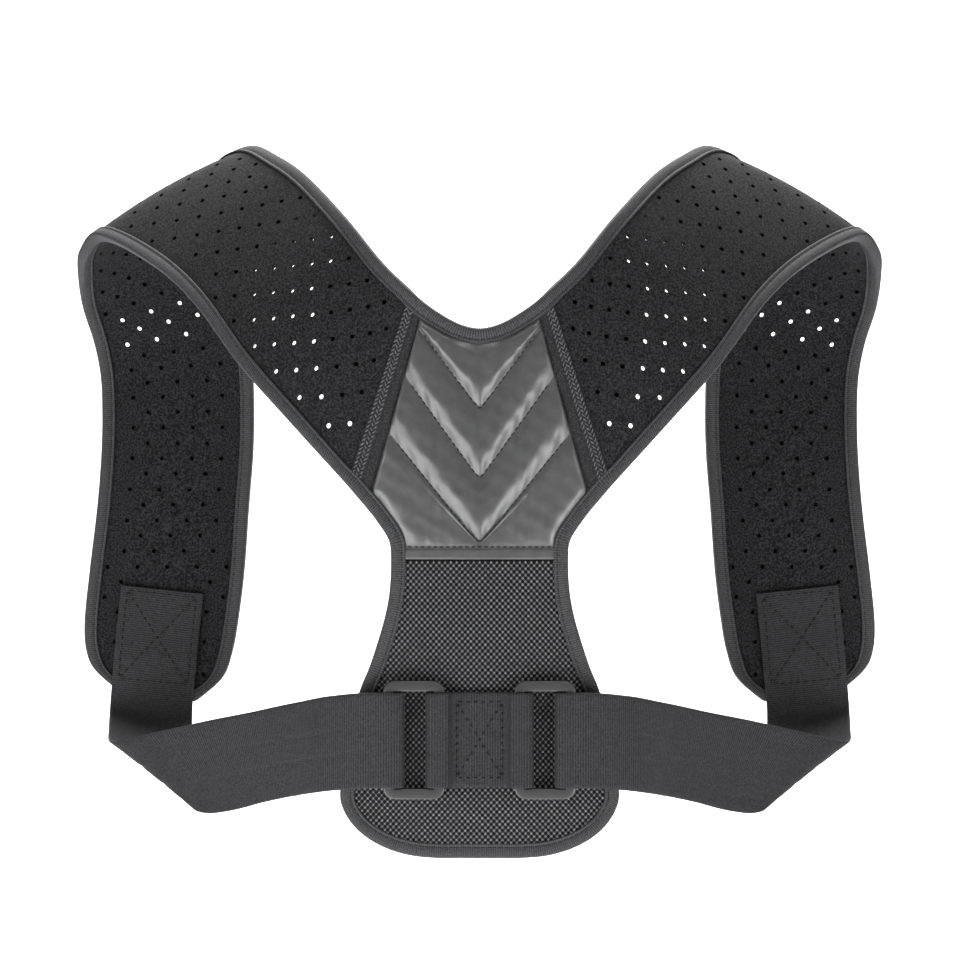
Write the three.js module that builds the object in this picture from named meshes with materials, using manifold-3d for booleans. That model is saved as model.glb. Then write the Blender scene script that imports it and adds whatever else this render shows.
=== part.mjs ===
// A shoulder-strap posture corrector in the form that it has when worn, with nobody in it.
// Millimetres. +X is the wearer's right, +Y is the wearer's front and +Z is up.
// Heights are laid out from the waist, where the quilted panel meets the mesh panel, and depths
// from the middle of the back. The group at the end moves the origin up between the shoulders.
// Everything on one side is worked out for the wearer's right and mirrored for the left.

import * as THREE from 'three';
import { mergeVertices } from 'three/addons/utils/BufferGeometryUtils.js';
import Module from 'manifold-3d';

const wasm = await Module();
wasm.setup();

// How far the straps reach
const HALF_SPAN = 211; // centre line out to the widest point of a strap
const SHOULDER_RISE = 198; // waist up to the neck-side peak of a strap
const FRONT_DROP = 84; // waist down to the front end of a strap
const CHEST_DEPTH = 160; // middle of the back to the front stretch of a strap
const STRAP_WIDTH = 81;
const SHOULDER_CROWN = 3.3; // bulge across a strap where it lies over the shoulder

// Back panel
const BACK_WRAP = 4; // how far the panel's widest edges curve forward
const NECK_HEIGHT = 103.4; // waist up to the lowest point of the neckline
const SEAM_TOP_HEIGHT = 121.2; // the seam between panel and strap, at the neckline
const SEAM_TOP_HALF = 31.5;
const SEAM_FOOT_HEIGHT = 30.3; // the same seam, at the edge under the arm
const SEAM_FOOT_HALF = 61.5;
const STRIP_TOP_WIDTH = 7.5;
const STRIP_FOOT_WIDTH = 12;
const WAIST_WIDTH = 82.6;
const LUMBAR_WIDTH = 130.2;
const WIDEST_DROP = 113; // waist down to the widest level of the mesh panel
const CORNER_REACH = 45; // half width and height of a rounded bottom corner
const CORNER_RISE = 30;
const HEM_DROP = 4; // how far the quilted panel's hem laps below the waist
const HEM_TOP = 0.9; // upper edge of the folded hem
const HEM_RAISE = 0.9;
const PUFF = 2.4; // height of the quilting between its stitch lines
const MESH_CROWN = 2;

// Layers
const PAD_THICKNESS = 3.5;
const TAPE_THICKNESS = 1;
const BINDING_WIDTH = 7;
const WEBBING_WIDTH = 44;
const WEBBING_THICKNESS = 1.6;
const LAYER_GAP = 0.35; // between pieces that lie on each other
const SEAM_GAP = 0.3; // between pieces that meet edge to edge

// Rings
const RING_WIDTH = 28.6;
const RING_BAR = 5;
const RING_THICKNESS = 4;
const RING_CORNER = 5;
const RING_EDGE = 0.8;
const RING_CENTRE = 30.3; // from the centre line
const RING_DROP = 87.2; // below the waist
const RING_STANDOFF = 8; // in front of the panel's middle surface
const WINDOW_SLACK = 0.8; // what the ring's window is taller than the webbing
const BELT_SLACK = 3.8; // how far a belt's turn hangs past the bar that it goes round
const LOOP_SLACK = 2.8; // the same for the centre webbing
const STITCHED_HALF = 11.4; // half length of the stretch of centre webbing that is sewn down

// Vents cut through the straps
const VENT_DIAMETER = 2.4;
const VENT_PITCH = 11.2;
const VENT_SIDES = 4;
const VENT_MARGIN = 5; // from the binding to a vent's middle
const VENTED_STATIONS = 3.4; // the vents are cut from the back seam to this station

const RAD = Math.PI / 180;
const edgeInset = TAPE_THICKNESS + LAYER_GAP;
const padHalf = PAD_THICKNESS / 2;
const bindingHalf = padHalf + LAYER_GAP + TAPE_THICKNESS;
const webbingHalf = WEBBING_THICKNESS / 2;

// The strap from the back, over the shoulder and down the front. x is a share of HALF_SPAN, y of
// CHEST_DEPTH and z of SHOULDER_RISE, or of FRONT_DROP below the waist. width is a share of
// STRAP_WIDTH and crown of SHOULDER_CROWN. lean and turn are the degrees by which the line across
// the strap, from its arm side to its neck side, rises and goes forward. steps is how finely the
// stretch after the station is divided.
const strapStations = [
  { name: 'blade', x: 0.320, y: 0.050, z: 0.495, width: 1.07, lean: 60, turn: 0, crown: 0.2, steps: 2 },
  { name: 'upper back', x: 0.419, y: 0.125, z: 0.619, width: 1.07, lean: 55, turn: 3, crown: 0.4, steps: 2 },
  { name: 'below ridge', x: 0.521, y: 0.259, z: 0.750, width: 1.02, lean: 49, turn: 7, crown: 0.6, steps: 2 },
  { name: 'near ridge', x: 0.612, y: 0.381, z: 0.831, width: 1.01, lean: 40, turn: 4, crown: 0.8, steps: 3 },
  { name: 'ridge', x: 0.718, y: 0.538, z: 0.891, width: 1.11, lean: 29, turn: -4, crown: 1, steps: 2 },
  { name: 'past ridge', x: 0.784, y: 0.656, z: 0.863, width: 1.10, lean: 31, turn: -5, crown: 1, steps: 2 },
  { name: 'top front', x: 0.803, y: 0.788, z: 0.802, width: 1.10, lean: 29, turn: -5, crown: 1, steps: 2 },
  { name: 'collar', x: 0.801, y: 0.890, z: 0.707, width: 1.07, lean: 23, turn: -3, crown: 0.8, steps: 2 },
  { name: 'high chest', x: 0.782, y: 0.956, z: 0.586, width: 1.01, lean: 13, turn: -1, crown: 0.6, steps: 2 },
  { name: 'armpit', x: 0.766, y: 0.990, z: 0.467, width: 1, lean: 4, turn: 0, crown: 0.4, steps: 1 },
  { name: 'chest', x: 0.762, y: 1, z: 0.364, width: 1, lean: 1, turn: 0, crown: 0.3, steps: 1 },
  { name: 'mid chest', x: 0.764, y: 1, z: 0.242, width: 1, lean: 0, turn: 0, crown: 0.3, steps: 1 },
  { name: 'low chest', x: 0.775, y: 1, z: 0.091, width: 1, lean: 0, turn: 0, crown: 0.3, steps: 1 },
  { name: 'ribs', x: 0.790, y: 1, z: -0.18, width: 1.02, lean: 0, turn: 0, crown: 0.3, steps: 1 },
  { name: 'low ribs', x: 0.805, y: 1, z: -0.52, width: 1.01, lean: 0, turn: 0, crown: 0.3, steps: 1 },
  { name: 'end begins', x: 0.809, y: 1, z: -0.71, width: 0.955, lean: 0, turn: 0, crown: 0.2, steps: 1 },
  { name: 'end narrows', x: 0.809, y: 1, z: -0.845, width: 0.83, lean: -3, turn: 0, crown: 0.1, steps: 1 },
  { name: 'end', x: 0.807, y: 1, z: -1, width: 0.46, lean: -5, turn: 0, crown: 0, steps: 1 },
];

// The edge under the arm, from the waist out and up to the seam's foot, as shares of that way.
const armCurve = [
  { out: 0, up: 0 },
  { out: 0.01, up: 0.1 },
  { out: 0.09, up: 0.228 },
  { out: 0.277, up: 0.41 },
  { out: 0.485, up: 0.597 },
  { out: 0.72, up: 0.78 },
];

// The neckline, from its lowest point out and up to the seam's top, as shares of that way.
const neckCurve = [
  { out: 0, up: 0 },
  { out: 0.216, up: 0.079 },
  { out: 0.42, up: 0.236 },
  { out: 0.705, up: 0.55 },
  { out: 0.9, up: 0.82 },
];

// The mesh panel's side. drop is a share of WIDEST_DROP, flare of the way from waist to full width.
const lumbarSide = [
  { drop: 0, flare: 0 },
  { drop: 0.088, flare: 0 },
  { drop: 0.187, flare: 0.038 },
  { drop: 0.286, flare: 0.134 },
  { drop: 0.385, flare: 0.273 },
  { drop: 0.484, flare: 0.429 },
  { drop: 0.583, flare: 0.62 },
  { drop: 0.79, flare: 0.87 },
  { drop: 1, flare: 1 },
];

// Lines across the quilted panel, each a V from the sides down to the middle. side and apex are
// shares of NECK_HEIGHT, lift is a share of PUFF, and 0 is a stitch line. Where spread is 1 the
// quilting swells at the sides alone, because the lines run together in the middle.
const quiltLines = [
  { name: 'first swell', apex: 0.83, side: 1.036, lift: 0.75, spread: 0 },
  { name: 'first crest', apex: 0.71, side: 1.028, lift: 1, spread: 0 },
  { name: 'first stitch line', apex: 0.644, side: 1.018, lift: 0, spread: 0 },
  { name: 'second swell', apex: 0.57, side: 0.965, lift: 0.6, spread: 0 },
  { name: 'second crest', apex: 0.41, side: 0.86, lift: 1, spread: 0 },
  { name: 'second stitch line', apex: 0.333, side: 0.802, lift: 0, spread: 0 },
  { name: 'third swell', apex: 0.26, side: 0.74, lift: 0.6, spread: 0 },
  { name: 'third crest', apex: 0.10, side: 0.615, lift: 1, spread: 0 },
  { name: 'third stitch line', apex: 0.040, side: 0.545, lift: 0, spread: 0 },
  { name: 'lobe swell', apex: 0.036, side: 0.47, lift: 0.8, spread: 1 },
  { name: 'lobe crest', apex: 0.032, side: 0.30, lift: 1, spread: 1 },
  { name: 'lobe fall', apex: 0.028, side: 0.18, lift: 0.8, spread: 1 },
  { name: 'lobe foot', apex: 0.025, side: 0.10, lift: 0.5, spread: 1 },
  { name: 'lobe end', apex: 0.022, side: 0.055, lift: 0.3, spread: 1 },
  { name: 'hem stitch line', apex: 0.018, side: 0.018, lift: 0, spread: 1 },
];

// The belt from its sewn top on the strap's front end, round the wearer's side and back towards the
// ring. Shares as for the strap, with width a share of WEBBING_WIDTH. over says what it lies on. A
// lean of -90 is an upright belt.
const beltStations = [
  { name: 'top', x: 0.800, y: 1, z: -0.30, width: 1, lean: -6, turn: 0, over: 'pad', steps: 1 },
  { name: 'box', x: 0.812, y: 1, z: -0.58, width: 1, lean: -6, turn: 0, over: 'pad', steps: 1 },
  { name: 'step', x: 0.817, y: 1, z: -0.74, width: 1, lean: -6, turn: 0, over: 'binding', steps: 1 },
  { name: 'end', x: 0.827, y: 0.992, z: -1.06, width: 1, lean: -6, turn: -2, over: 'binding', steps: 3 },
  { name: 'hem', x: 0.803, y: 0.75, z: -1.24, width: 1.14, lean: -20, turn: -13, over: 'air', steps: 4 },
  { name: 'bend', x: 0.769, y: 0.512, z: -1.377, width: 1.386, lean: -35, turn: -19, over: 'air', steps: 3 },
  { name: 'past', x: 0.721, y: 0.472, z: -1.351, width: 1.25, lean: -44.5, turn: -21, over: 'air', steps: 2 },
  { name: 'front', x: 0.659, y: 0.422, z: -1.312, width: 1.12, lean: -58, turn: -17, over: 'air', steps: 2 },
  { name: 'side', x: 0.586, y: 0.350, z: -1.261, width: 1.04, lean: -72.5, turn: -10, over: 'air', steps: 2 },
  { name: 'flank', x: 0.514, y: 0.269, z: -1.206, width: 1, lean: -81, turn: -3, over: 'air', steps: 2 },
  { name: 'back', x: 0.433, y: 0.163, z: -1.143, width: 1, lean: -86, turn: 0, over: 'air', steps: 2 },
];

// The last of the belt, where it lies over the mesh panel's edge. out is the share of the way from
// the ring's outer bar to the panel's widest edge, stand is a share of RING_STANDOFF and drop of
// RING_DROP. layers is how many layer pitches the stretch that comes back lies behind. steps and
// backSteps are how finely the belt is divided after the station, and on its way back before it.
const beltOverPanel = [
  { name: 'off the panel', out: 1.45, stand: -0.62, drop: 1.045, layers: 1.7, steps: 1, backSteps: 1 },
  { name: 'panel edge', out: 1, stand: 0.44, drop: 1.02, layers: 1.35, steps: 1, backSteps: 1 },
  { name: 'near ring', out: 0.55, stand: 1.06, drop: 1.006, layers: 1.9, steps: 2, backSteps: 2 },
];

// Vectors and shapes

const v3 = (x, y, z) => new THREE.Vector3(x, y, z);
const lerp = THREE.MathUtils.lerp;

function movedBy(point, direction, distance) {
  return point.clone().addScaledVector(direction, distance);
}

function smoothCurve(points) {
  return new THREE.CatmullRomCurve3(points, false, 'catmullrom', 0.5);
}

// A closed body from triangles, turned so that its faces point out.
function bodyFrom(points, triangles) {
  let volume = 0;
  for (const [a, b, c] of triangles) {
    volume += points[a].dot(points[b].clone().cross(points[c]));
  }
  const facing = volume > 0 ? triangles : triangles.map(([a, b, c]) => [a, c, b]);
  const geometry = new THREE.BufferGeometry();
  const places = points.flatMap((point) => point.toArray());
  geometry.setAttribute('position', new THREE.Float32BufferAttribute(places, 3));
  geometry.setIndex(facing.flat());
  return geometry;
}

// A wall of cloth: rows of cells, each with a point on its outside and one on its inside.
function wallFrom(rows, closed = false) {
  const across = rows[0].length;
  const points = [];
  for (const row of rows) {
    for (const cell of row) {
      points.push(cell.outside, cell.inside);
    }
  }
  const at = (i, j, face) => ((i % rows.length) * across + j) * 2 + face;
  const triangles = [];
  const quad = (a, b, c, d) => triangles.push([a, b, c], [a, c, d]);
  const spans = closed ? rows.length : rows.length - 1;
  for (let i = 0; i < spans; i += 1) {
    for (let j = 0; j + 1 < across; j += 1) {
      quad(at(i, j, 0), at(i + 1, j, 0), at(i + 1, j + 1, 0), at(i, j + 1, 0));
      triangles.push([at(i, j, 1), at(i + 1, j + 1, 1), at(i + 1, j, 1)]);
      triangles.push([at(i, j, 1), at(i, j + 1, 1), at(i + 1, j + 1, 1)]);
    }
    quad(at(i, 0, 0), at(i, 0, 1), at(i + 1, 0, 1), at(i + 1, 0, 0));
    quad(at(i, across - 1, 0), at(i + 1, across - 1, 0), at(i + 1, across - 1, 1), at(i, across - 1, 1));
  }
  if (!closed) {
    const last = rows.length - 1;
    for (let j = 0; j + 1 < across; j += 1) {
      quad(at(0, j, 0), at(0, j + 1, 0), at(0, j + 1, 1), at(0, j, 1));
      quad(at(last, j, 0), at(last, j, 1), at(last, j + 1, 1), at(last, j + 1, 0));
    }
  }
  return bodyFrom(points, triangles);
}

// A section carried once round a closed path. Past the turning point its faces are divided the
// other way, so that both halves are alike.
function loopFrom(sections, turningPoint) {
  const around = sections[0].length;
  const triangles = [];
  for (let i = 0; i < sections.length; i += 1) {
    const next = (i + 1) % sections.length;
    for (let j = 0; j < around; j += 1) {
      const k = (j + 1) % around;
      const [a, b, c, d] = [i * around + j, next * around + j, next * around + k, i * around + k];
      if (i < turningPoint) {
        triangles.push([a, b, c], [a, c, d]);
      } else {
        triangles.push([a, b, d], [b, c, d]);
      }
    }
  }
  return bodyFrom(sections.flat(), triangles);
}

function mirrored(geometry) {
  const copy = geometry.clone().scale(-1, 1, 1);
  const index = copy.index.array;
  for (let i = 0; i < index.length; i += 3) {
    [index[i + 1], index[i + 2]] = [index[i + 2], index[i + 1]];
  }
  return copy;
}

function solidFrom(geometry) {
  const bare = geometry.clone();
  bare.deleteAttribute('normal');
  bare.deleteAttribute('uv');
  const merged = mergeVertices(bare, 1e-4);
  const vertProperties = new Float32Array(merged.attributes.position.array);
  const triVerts = new Uint32Array(merged.index.array);
  return new wasm.Manifold(new wasm.Mesh({ numProp: 3, vertProperties, triVerts }));
}

function geometryFrom(solid) {
  const { vertProperties, triVerts } = solid.getMesh();
  const geometry = new THREE.BufferGeometry();
  geometry.setAttribute('position', new THREE.BufferAttribute(vertProperties, 3));
  geometry.setIndex(new THREE.BufferAttribute(triVerts, 1));
  return geometry;
}

// The back: a gentle curve round the wearer

const curve = BACK_WRAP / (LUMBAR_WIDTH / 2) ** 2;

function backNormal(x) {
  return v3(2 * curve * x, -1, 0).normalize();
}

function backPoint(x, z, lift = 0) {
  return movedBy(v3(x, curve * x * x, z), backNormal(x), lift);
}

function backCell(x, z, rise = 0) {
  return { outside: backPoint(x, z, padHalf + rise), inside: backPoint(x, z, -padHalf) };
}

// The outlines of the panel, in the plane of x and height

const waistHalf = WAIST_WIDTH / 2;
const lumbarHalf = LUMBAR_WIDTH / 2;

const neckOutline = [...neckCurve, { out: 1, up: 1 }].map(({ out, up }) => [
  out * SEAM_TOP_HALF,
  lerp(NECK_HEIGHT, SEAM_TOP_HEIGHT, up),
]);

const armOutline = [...armCurve, { out: 1, up: 1 }].map(({ out, up }) => [
  lerp(waistHalf, SEAM_FOOT_HALF, out),
  up * SEAM_FOOT_HEIGHT,
]);

const sideOutline = lumbarSide.map(({ drop, flare }) => [
  lerp(waistHalf, lumbarHalf, flare),
  -drop * WIDEST_DROP,
]);

const CORNER_ANGLES = [15, 30, 45, 60, 75, 90];
const cornerOutline = CORNER_ANGLES.map((degrees) => [
  lumbarHalf - CORNER_REACH * (1 - Math.cos(degrees * RAD)),
  -WIDEST_DROP - CORNER_RISE * Math.sin(degrees * RAD),
]);

const bottomHalf = lumbarHalf - CORNER_REACH;

const bottomHeight = -WIDEST_DROP - CORNER_RISE;

// A line moved sideways by a distance; a negative one moves it to the other side.
function shifted(line, distance) {
  return line.map(([x, z], i) => {
    const [ax, az] = line[Math.max(i - 1, 0)];
    const [bx, bz] = line[Math.min(i + 1, line.length - 1)];
    const length = Math.hypot(bx - ax, bz - az);
    return [x - (distance * (bz - az)) / length, z + (distance * (bx - ax)) / length];
  });
}

// The x of a line at a height, and the height of a line at an x.
function xAt(line, z) {
  const found = line.findIndex((p, i) => i > 0 && (p[1] - z) * (line[i - 1][1] - z) <= 0);
  const k = found > 0 ? found : 1;
  const [a, b] = [line[k - 1], line[k]];
  return lerp(a[0], b[0], (z - a[1]) / (b[1] - a[1]));
}

function heightAt(line, x) {
  return xAt(line.map(([a, b]) => [b, a]), x);
}

const neckInset = shifted(neckOutline, -edgeInset);
const neckLeg = shifted(neckOutline, -BINDING_WIDTH);
const armInset = shifted(armOutline, edgeInset);
const lowerOutline = [...sideOutline, ...cornerOutline];
const lowerInset = shifted(lowerOutline, -edgeInset);
const lowerLeg = shifted(lowerOutline, -BINDING_WIDTH);

// Straps

function heightOf(share) {
  return share > 0 ? share * SHOULDER_RISE : share * FRONT_DROP;
}

// The two edges of a band at a station: its arm side or upper edge, and its neck side or lower edge.
function bandEdges(station, fullWidth, depthOffset = 0) {
  const [lean, turn] = [station.lean * RAD, station.turn * RAD];
  const across = v3(-Math.cos(lean) * Math.cos(turn), Math.sin(turn), Math.sin(lean) * Math.cos(turn));
  const middle = v3(station.x * HALF_SPAN, station.y * CHEST_DEPTH + depthOffset, heightOf(station.z));
  const half = (station.width * fullWidth) / 2;
  return { outer: movedBy(middle, across, -half), inner: movedBy(middle, across, half) };
}

const seamEdges = {
  outer: backPoint(SEAM_FOOT_HALF, SEAM_FOOT_HEIGHT),
  inner: backPoint(SEAM_TOP_HALF, SEAM_TOP_HEIGHT),
};
const SEAM_STEPS = 3;
const strapEdges = [seamEdges, ...strapStations.map((station) => bandEdges(station, STRAP_WIDTH))];
const strapCrowns = [0, ...strapStations.map((station) => station.crown)];
const strapSteps = [SEAM_STEPS, ...strapStations.map((station) => station.steps)];
const strapSpans = strapEdges.length - 1;
const outerEdge = smoothCurve(strapEdges.map(({ outer }) => outer));
const innerEdge = smoothCurve(strapEdges.map(({ inner }) => inner));

// A point on the strap's middle surface: u counts stations from the back seam, t goes from 0 at
// the arm side to 1 at the neck side.
function strapPoint(u, t) {
  const at = Math.min(Math.max(u / strapSpans, 0), 1);
  const [outer, inner] = [outerEdge.getPoint(at), innerEdge.getPoint(at)];
  const across = inner.clone().sub(outer);
  const along = outerEdge.getTangent(at).add(innerEdge.getTangent(at));
  const bulge = along.cross(across).normalize();
  const k = Math.min(Math.floor(at * strapSpans), strapSpans - 1);
  const crown = SHOULDER_CROWN * lerp(strapCrowns[k], strapCrowns[k + 1], at * strapSpans - k);
  return outer.addScaledVector(across, t).addScaledVector(bulge, crown * 4 * t * (1 - t));
}

const STEP = 0.02;
const endSpan = strapPoint(strapSpans, 0.5).distanceTo(strapPoint(strapSpans - 1, 0.5));

function strapNormal(u, t) {
  const [before, after] = [Math.max(u - STEP, 0), Math.min(u + STEP, strapSpans)];
  const along = strapPoint(after, t).sub(strapPoint(before, t));
  const across = strapPoint(u, Math.min(t + STEP, 1)).sub(strapPoint(u, Math.max(t - STEP, 0)));
  return along.cross(across).normalize();
}

// How much of the strap's width a distance from its edge takes, where the edge may run aslant.
function edgeShare(u, t, distance) {
  const [before, after] = [Math.max(u - STEP, 0), Math.min(u + STEP, strapSpans)];
  const along = strapPoint(after, t).sub(strapPoint(before, t)).normalize();
  const across = strapPoint(u, 1).sub(strapPoint(u, 0));
  const width = across.length();
  const aslant = along.cross(across).length() / width;
  return distance / (aslant * width);
}

function strapLevels(first, last) {
  const levels = [];
  strapSteps.slice(0, strapSpans).forEach((steps, station) => {
    for (let i = 0; i < steps; i += 1) {
      levels.push(station + i / steps);
    }
  });
  return [first, ...levels.filter((u) => u > first && u < last), last];
}

const PAD_INNER_COLUMNS = [0.33, 0.67];

function padGeometry() {
  const first = SEAM_GAP / strapEdges[0].inner.distanceTo(strapEdges[1].inner);
  const last = strapSpans - (edgeInset + LAYER_GAP) / endSpan;
  const rows = strapLevels(first, last).map((u) => {
    const [near, nearLeg] = [edgeShare(u, 0, edgeInset), edgeShare(u, 0, BINDING_WIDTH)];
    const [far, farLeg] = [1 - edgeShare(u, 1, edgeInset), 1 - edgeShare(u, 1, BINDING_WIDTH)];
    const between = PAD_INNER_COLUMNS.map((share) => lerp(nearLeg, farLeg, share));
    return [near, nearLeg, ...between, farLeg, far].map((t) => {
      const [point, normal] = [strapPoint(u, t), strapNormal(u, t)];
      return { outside: movedBy(point, normal, padHalf), inside: movedBy(point, normal, -padHalf) };
    });
  });
  return wallFrom(rows);
}

// Vents in a lattice that runs slantwise to the strap: every second row is shifted by half a step.
function ventTool() {
  const rowStep = VENT_PITCH / Math.SQRT2;
  const columnStep = VENT_PITCH * Math.SQRT2;
  const columns = Math.ceil(STRAP_WIDTH / columnStep);
  const radius = VENT_DIAMETER / 2;
  const drill = new THREE.CylinderGeometry(radius, radius, PAD_THICKNESS * 2, VENT_SIDES);
  const middle = (u) => strapPoint(u, 0.5);
  let tool = null;
  let row = 0;
  let travelled = 0;
  let u = 0;
  while (u < VENTED_STATIONS) {
    const width = strapPoint(u, 1).distanceTo(strapPoint(u, 0));
    const clear = width / 2 - BINDING_WIDTH - VENT_MARGIN;
    const shift = row % 2 ? 0.5 : 0;
    for (let k = -columns; k <= columns; k += 1) {
      const offset = (k + shift) * columnStep;
      const seamClear = travelled > rowStep;
      if (seamClear && Math.abs(offset) < clear) {
        const t = 0.5 + offset / width;
        const turn = new THREE.Quaternion().setFromUnitVectors(v3(0, 1, 0), strapNormal(u, t));
        const hole = drill.clone().applyQuaternion(turn).translate(...strapPoint(u, t).toArray());
        tool = tool ? tool.add(solidFrom(hole)) : solidFrom(hole);
      }
    }
    const start = travelled;
    while (travelled - start < rowStep) {
      travelled += middle(u + STEP).distanceTo(middle(u));
      u += STEP;
    }
    row += 1;
  }
  return tool;
}

// Back panel pieces

const slantLength = Math.hypot(SEAM_TOP_HALF - SEAM_FOOT_HALF, SEAM_TOP_HEIGHT - SEAM_FOOT_HEIGHT);
const slantCosine = (SEAM_TOP_HEIGHT - SEAM_FOOT_HEIGHT) / slantLength;

// The x of a line that runs beside the seam at a distance, at a height.
function besideSeam(z, footDistance, topDistance) {
  const share = (z - SEAM_FOOT_HEIGHT) / (SEAM_TOP_HEIGHT - SEAM_FOOT_HEIGHT);
  const distance = lerp(footDistance, topDistance, share);
  return lerp(SEAM_FOOT_HALF, SEAM_TOP_HALF, share) - distance / slantCosine;
}

const stripOuter = (z) => besideSeam(z, SEAM_GAP, SEAM_GAP);
const stripInner = (z) => besideSeam(z, STRIP_FOOT_WIDTH, STRIP_TOP_WIDTH);
const quiltSide = (z) => besideSeam(z, STRIP_FOOT_WIDTH + SEAM_GAP, STRIP_TOP_WIDTH + SEAM_GAP);

// The height at which a line beside the seam meets an outline.
function meeting(xOf, line) {
  for (let i = 1; i < line.length; i += 1) {
    const [[ax, az], [bx, bz]] = [line[i - 1], line[i]];
    const [before, after] = [ax - xOf(az), bx - xOf(bz)];
    if (before * after <= 0) {
      return lerp(az, bz, before / (before - after));
    }
  }
  return line[line.length - 1][1];
}

const STRIP_ROWS = 5;

function stripGeometry() {
  const lines = [stripOuter, stripInner].map((xOf) => ({
    xOf,
    foot: meeting(xOf, armInset),
    top: meeting(xOf, neckInset),
  }));
  const rows = [];
  for (let i = 0; i <= STRIP_ROWS; i += 1) {
    const cells = lines.map(({ xOf, foot, top }) => {
      const z = lerp(foot, top, i / STRIP_ROWS);
      return backCell(xOf(z), z);
    });
    rows.push(cells);
  }
  return wallFrom(rows);
}

function quiltHalf(z) {
  const side = quiltSide(z);
  return z < SEAM_FOOT_HEIGHT ? Math.min(side, xAt(armInset, Math.max(z, 0))) : side;
}

const QUILT_COLUMNS = [0, 0.27, 0.54, 0.8, 1]; // shares of the way out to where the panel lies flat
const SEAM_MARGIN = 2.5; // width that lies flat beside a seam strip
const RIM_MARGIN = 8.5; // width that lies flat under the binding

// A row of cells from one side to the other, the same on both sides, from the middle outwards.
function evenRow(half, flatHalf, cellAt) {
  const out = [...QUILT_COLUMNS.map((share) => share * flatHalf), half];
  return [...out.slice(1).reverse().map((x) => -x), ...out].map((x) => cellAt(x, Math.abs(x) < flatHalf));
}

function quiltGeometry() {
  const neckRow = (line) => {
    const half = quiltHalf(meeting(quiltSide, line));
    return evenRow(half, half - SEAM_MARGIN, (x) => backCell(x, heightAt(line, Math.abs(x))));
  };
  const lineRow = ({ apex, side, lift, spread }) => {
    const [low, high] = [apex * NECK_HEIGHT, side * NECK_HEIGHT];
    const half = quiltHalf(high);
    return evenRow(half, half - (spread ? RIM_MARGIN : SEAM_MARGIN), (x, free) => {
      const out = Math.abs(x) / half;
      const swell = free ? lift * PUFF * (spread ? out : 1) : 0;
      return backCell(x, lerp(low, high, out), swell);
    });
  };
  const hemRow = (z) => {
    const half = quiltHalf(z);
    return evenRow(half, half - RIM_MARGIN, (x, free) => backCell(x, z, free ? HEM_RAISE : 0));
  };
  const neckRows = [neckRow(neckInset), neckRow(neckLeg)];
  return wallFrom([...neckRows, ...quiltLines.map(lineRow), hemRow(HEM_TOP), hemRow(-HEM_DROP)]);
}

const MESH_SLOPE = 22; // how far from its edges the padding reaches its full height

function meshGeometry() {
  const top = -HEM_DROP - SEAM_GAP;
  const foot = bottomHeight + BINDING_WIDTH;
  const sides = [[xAt(lowerInset, top), top], ...lowerInset.filter(([, z]) => z < top)];
  const rows = sides.map(([half, z]) => {
    const flatHalf = z > foot ? xAt(lowerLeg, z) : Math.max(half - RIM_MARGIN, half / 2);
    const level = Math.min(Math.max(Math.min(top - z, z - foot) / MESH_SLOPE, 0), 1);
    return evenRow(half, flatHalf, (x, free) => {
      const swell = free ? MESH_CROWN * Math.sqrt(level) * (1 - (x / flatHalf) ** 2) : 0;
      return backCell(x, z, swell);
    });
  });
  return wallFrom(rows);
}

// The binding: a tape folded round the whole edge, in one closed loop

// Each rim point is a function of the distance in from the edge, along the piece's own surface.

function flatRim(line, inwardSign) {
  return line.map(([x, z], i) => {
    const inward = shifted(line, inwardSign)[i];
    return (distance) => {
      const px = lerp(x, inward[0], distance);
      return { point: backPoint(px, lerp(z, inward[1], distance)), normal: backNormal(px) };
    };
  });
}

function onStrap(u, t) {
  return { point: strapPoint(u, t), normal: strapNormal(u, t) };
}

function rightRim() {
  const bottom = [0, 0.5, 1].map((share) => [share * bottomHalf, bottomHeight]);
  const lower = flatRim([...lowerOutline].reverse(), 1);
  const arm = flatRim(armOutline, 1).slice(1, -1);
  const neck = flatRim([...neckOutline].reverse(), 1).slice(1);
  const levels = strapLevels(0, strapSpans).slice(0, -1);
  const armSide = levels.map((u) => (distance) => onStrap(u, edgeShare(u, 0, distance)));
  const neckSide = levels.map((u) => (distance) => onStrap(u, 1 - edgeShare(u, 1, distance)));
  const ending = [0, ...PAD_INNER_COLUMNS, 1].map((t) => (distance) => {
    const u = strapSpans - distance / endSpan;
    const corner = edgeShare(u, t, distance);
    return onStrap(u, lerp(corner, 1 - corner, t));
  });
  const back = [...flatRim(bottom, 1).slice(0, -1), ...lower, ...arm];
  return [...back, ...armSide, ...ending, ...neckSide.reverse(), ...neck];
}

function bindingGeometry() {
  const right = rightRim();
  const near = bindingHalf - TAPE_THICKNESS;
  const profile = [
    [0, -bindingHalf],
    [0, bindingHalf],
    [BINDING_WIDTH, bindingHalf],
    [BINDING_WIDTH, near],
    [TAPE_THICKNESS, near],
    [TAPE_THICKNESS, -near],
    [BINDING_WIDTH, -near],
    [BINDING_WIDTH, -bindingHalf],
  ];
  const sections = right.map((rim) => profile.map(([distance, lift]) => {
    const { point, normal } = rim(distance);
    return movedBy(point, normal, lift);
  }));
  const flipped = sections.map((section) => section.map(({ x, y, z }) => v3(-x, y, z)));
  return loopFrom([...sections, ...flipped.slice(1, -1).reverse()], sections.length - 1);
}

// Webbing

const ringBarOffset = RING_WIDTH / 2 - RING_BAR / 2;
const wrapRadius = RING_THICKNESS / 2 + LAYER_GAP + webbingHalf;
const HALF_TURN_STEPS = 6;

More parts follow.
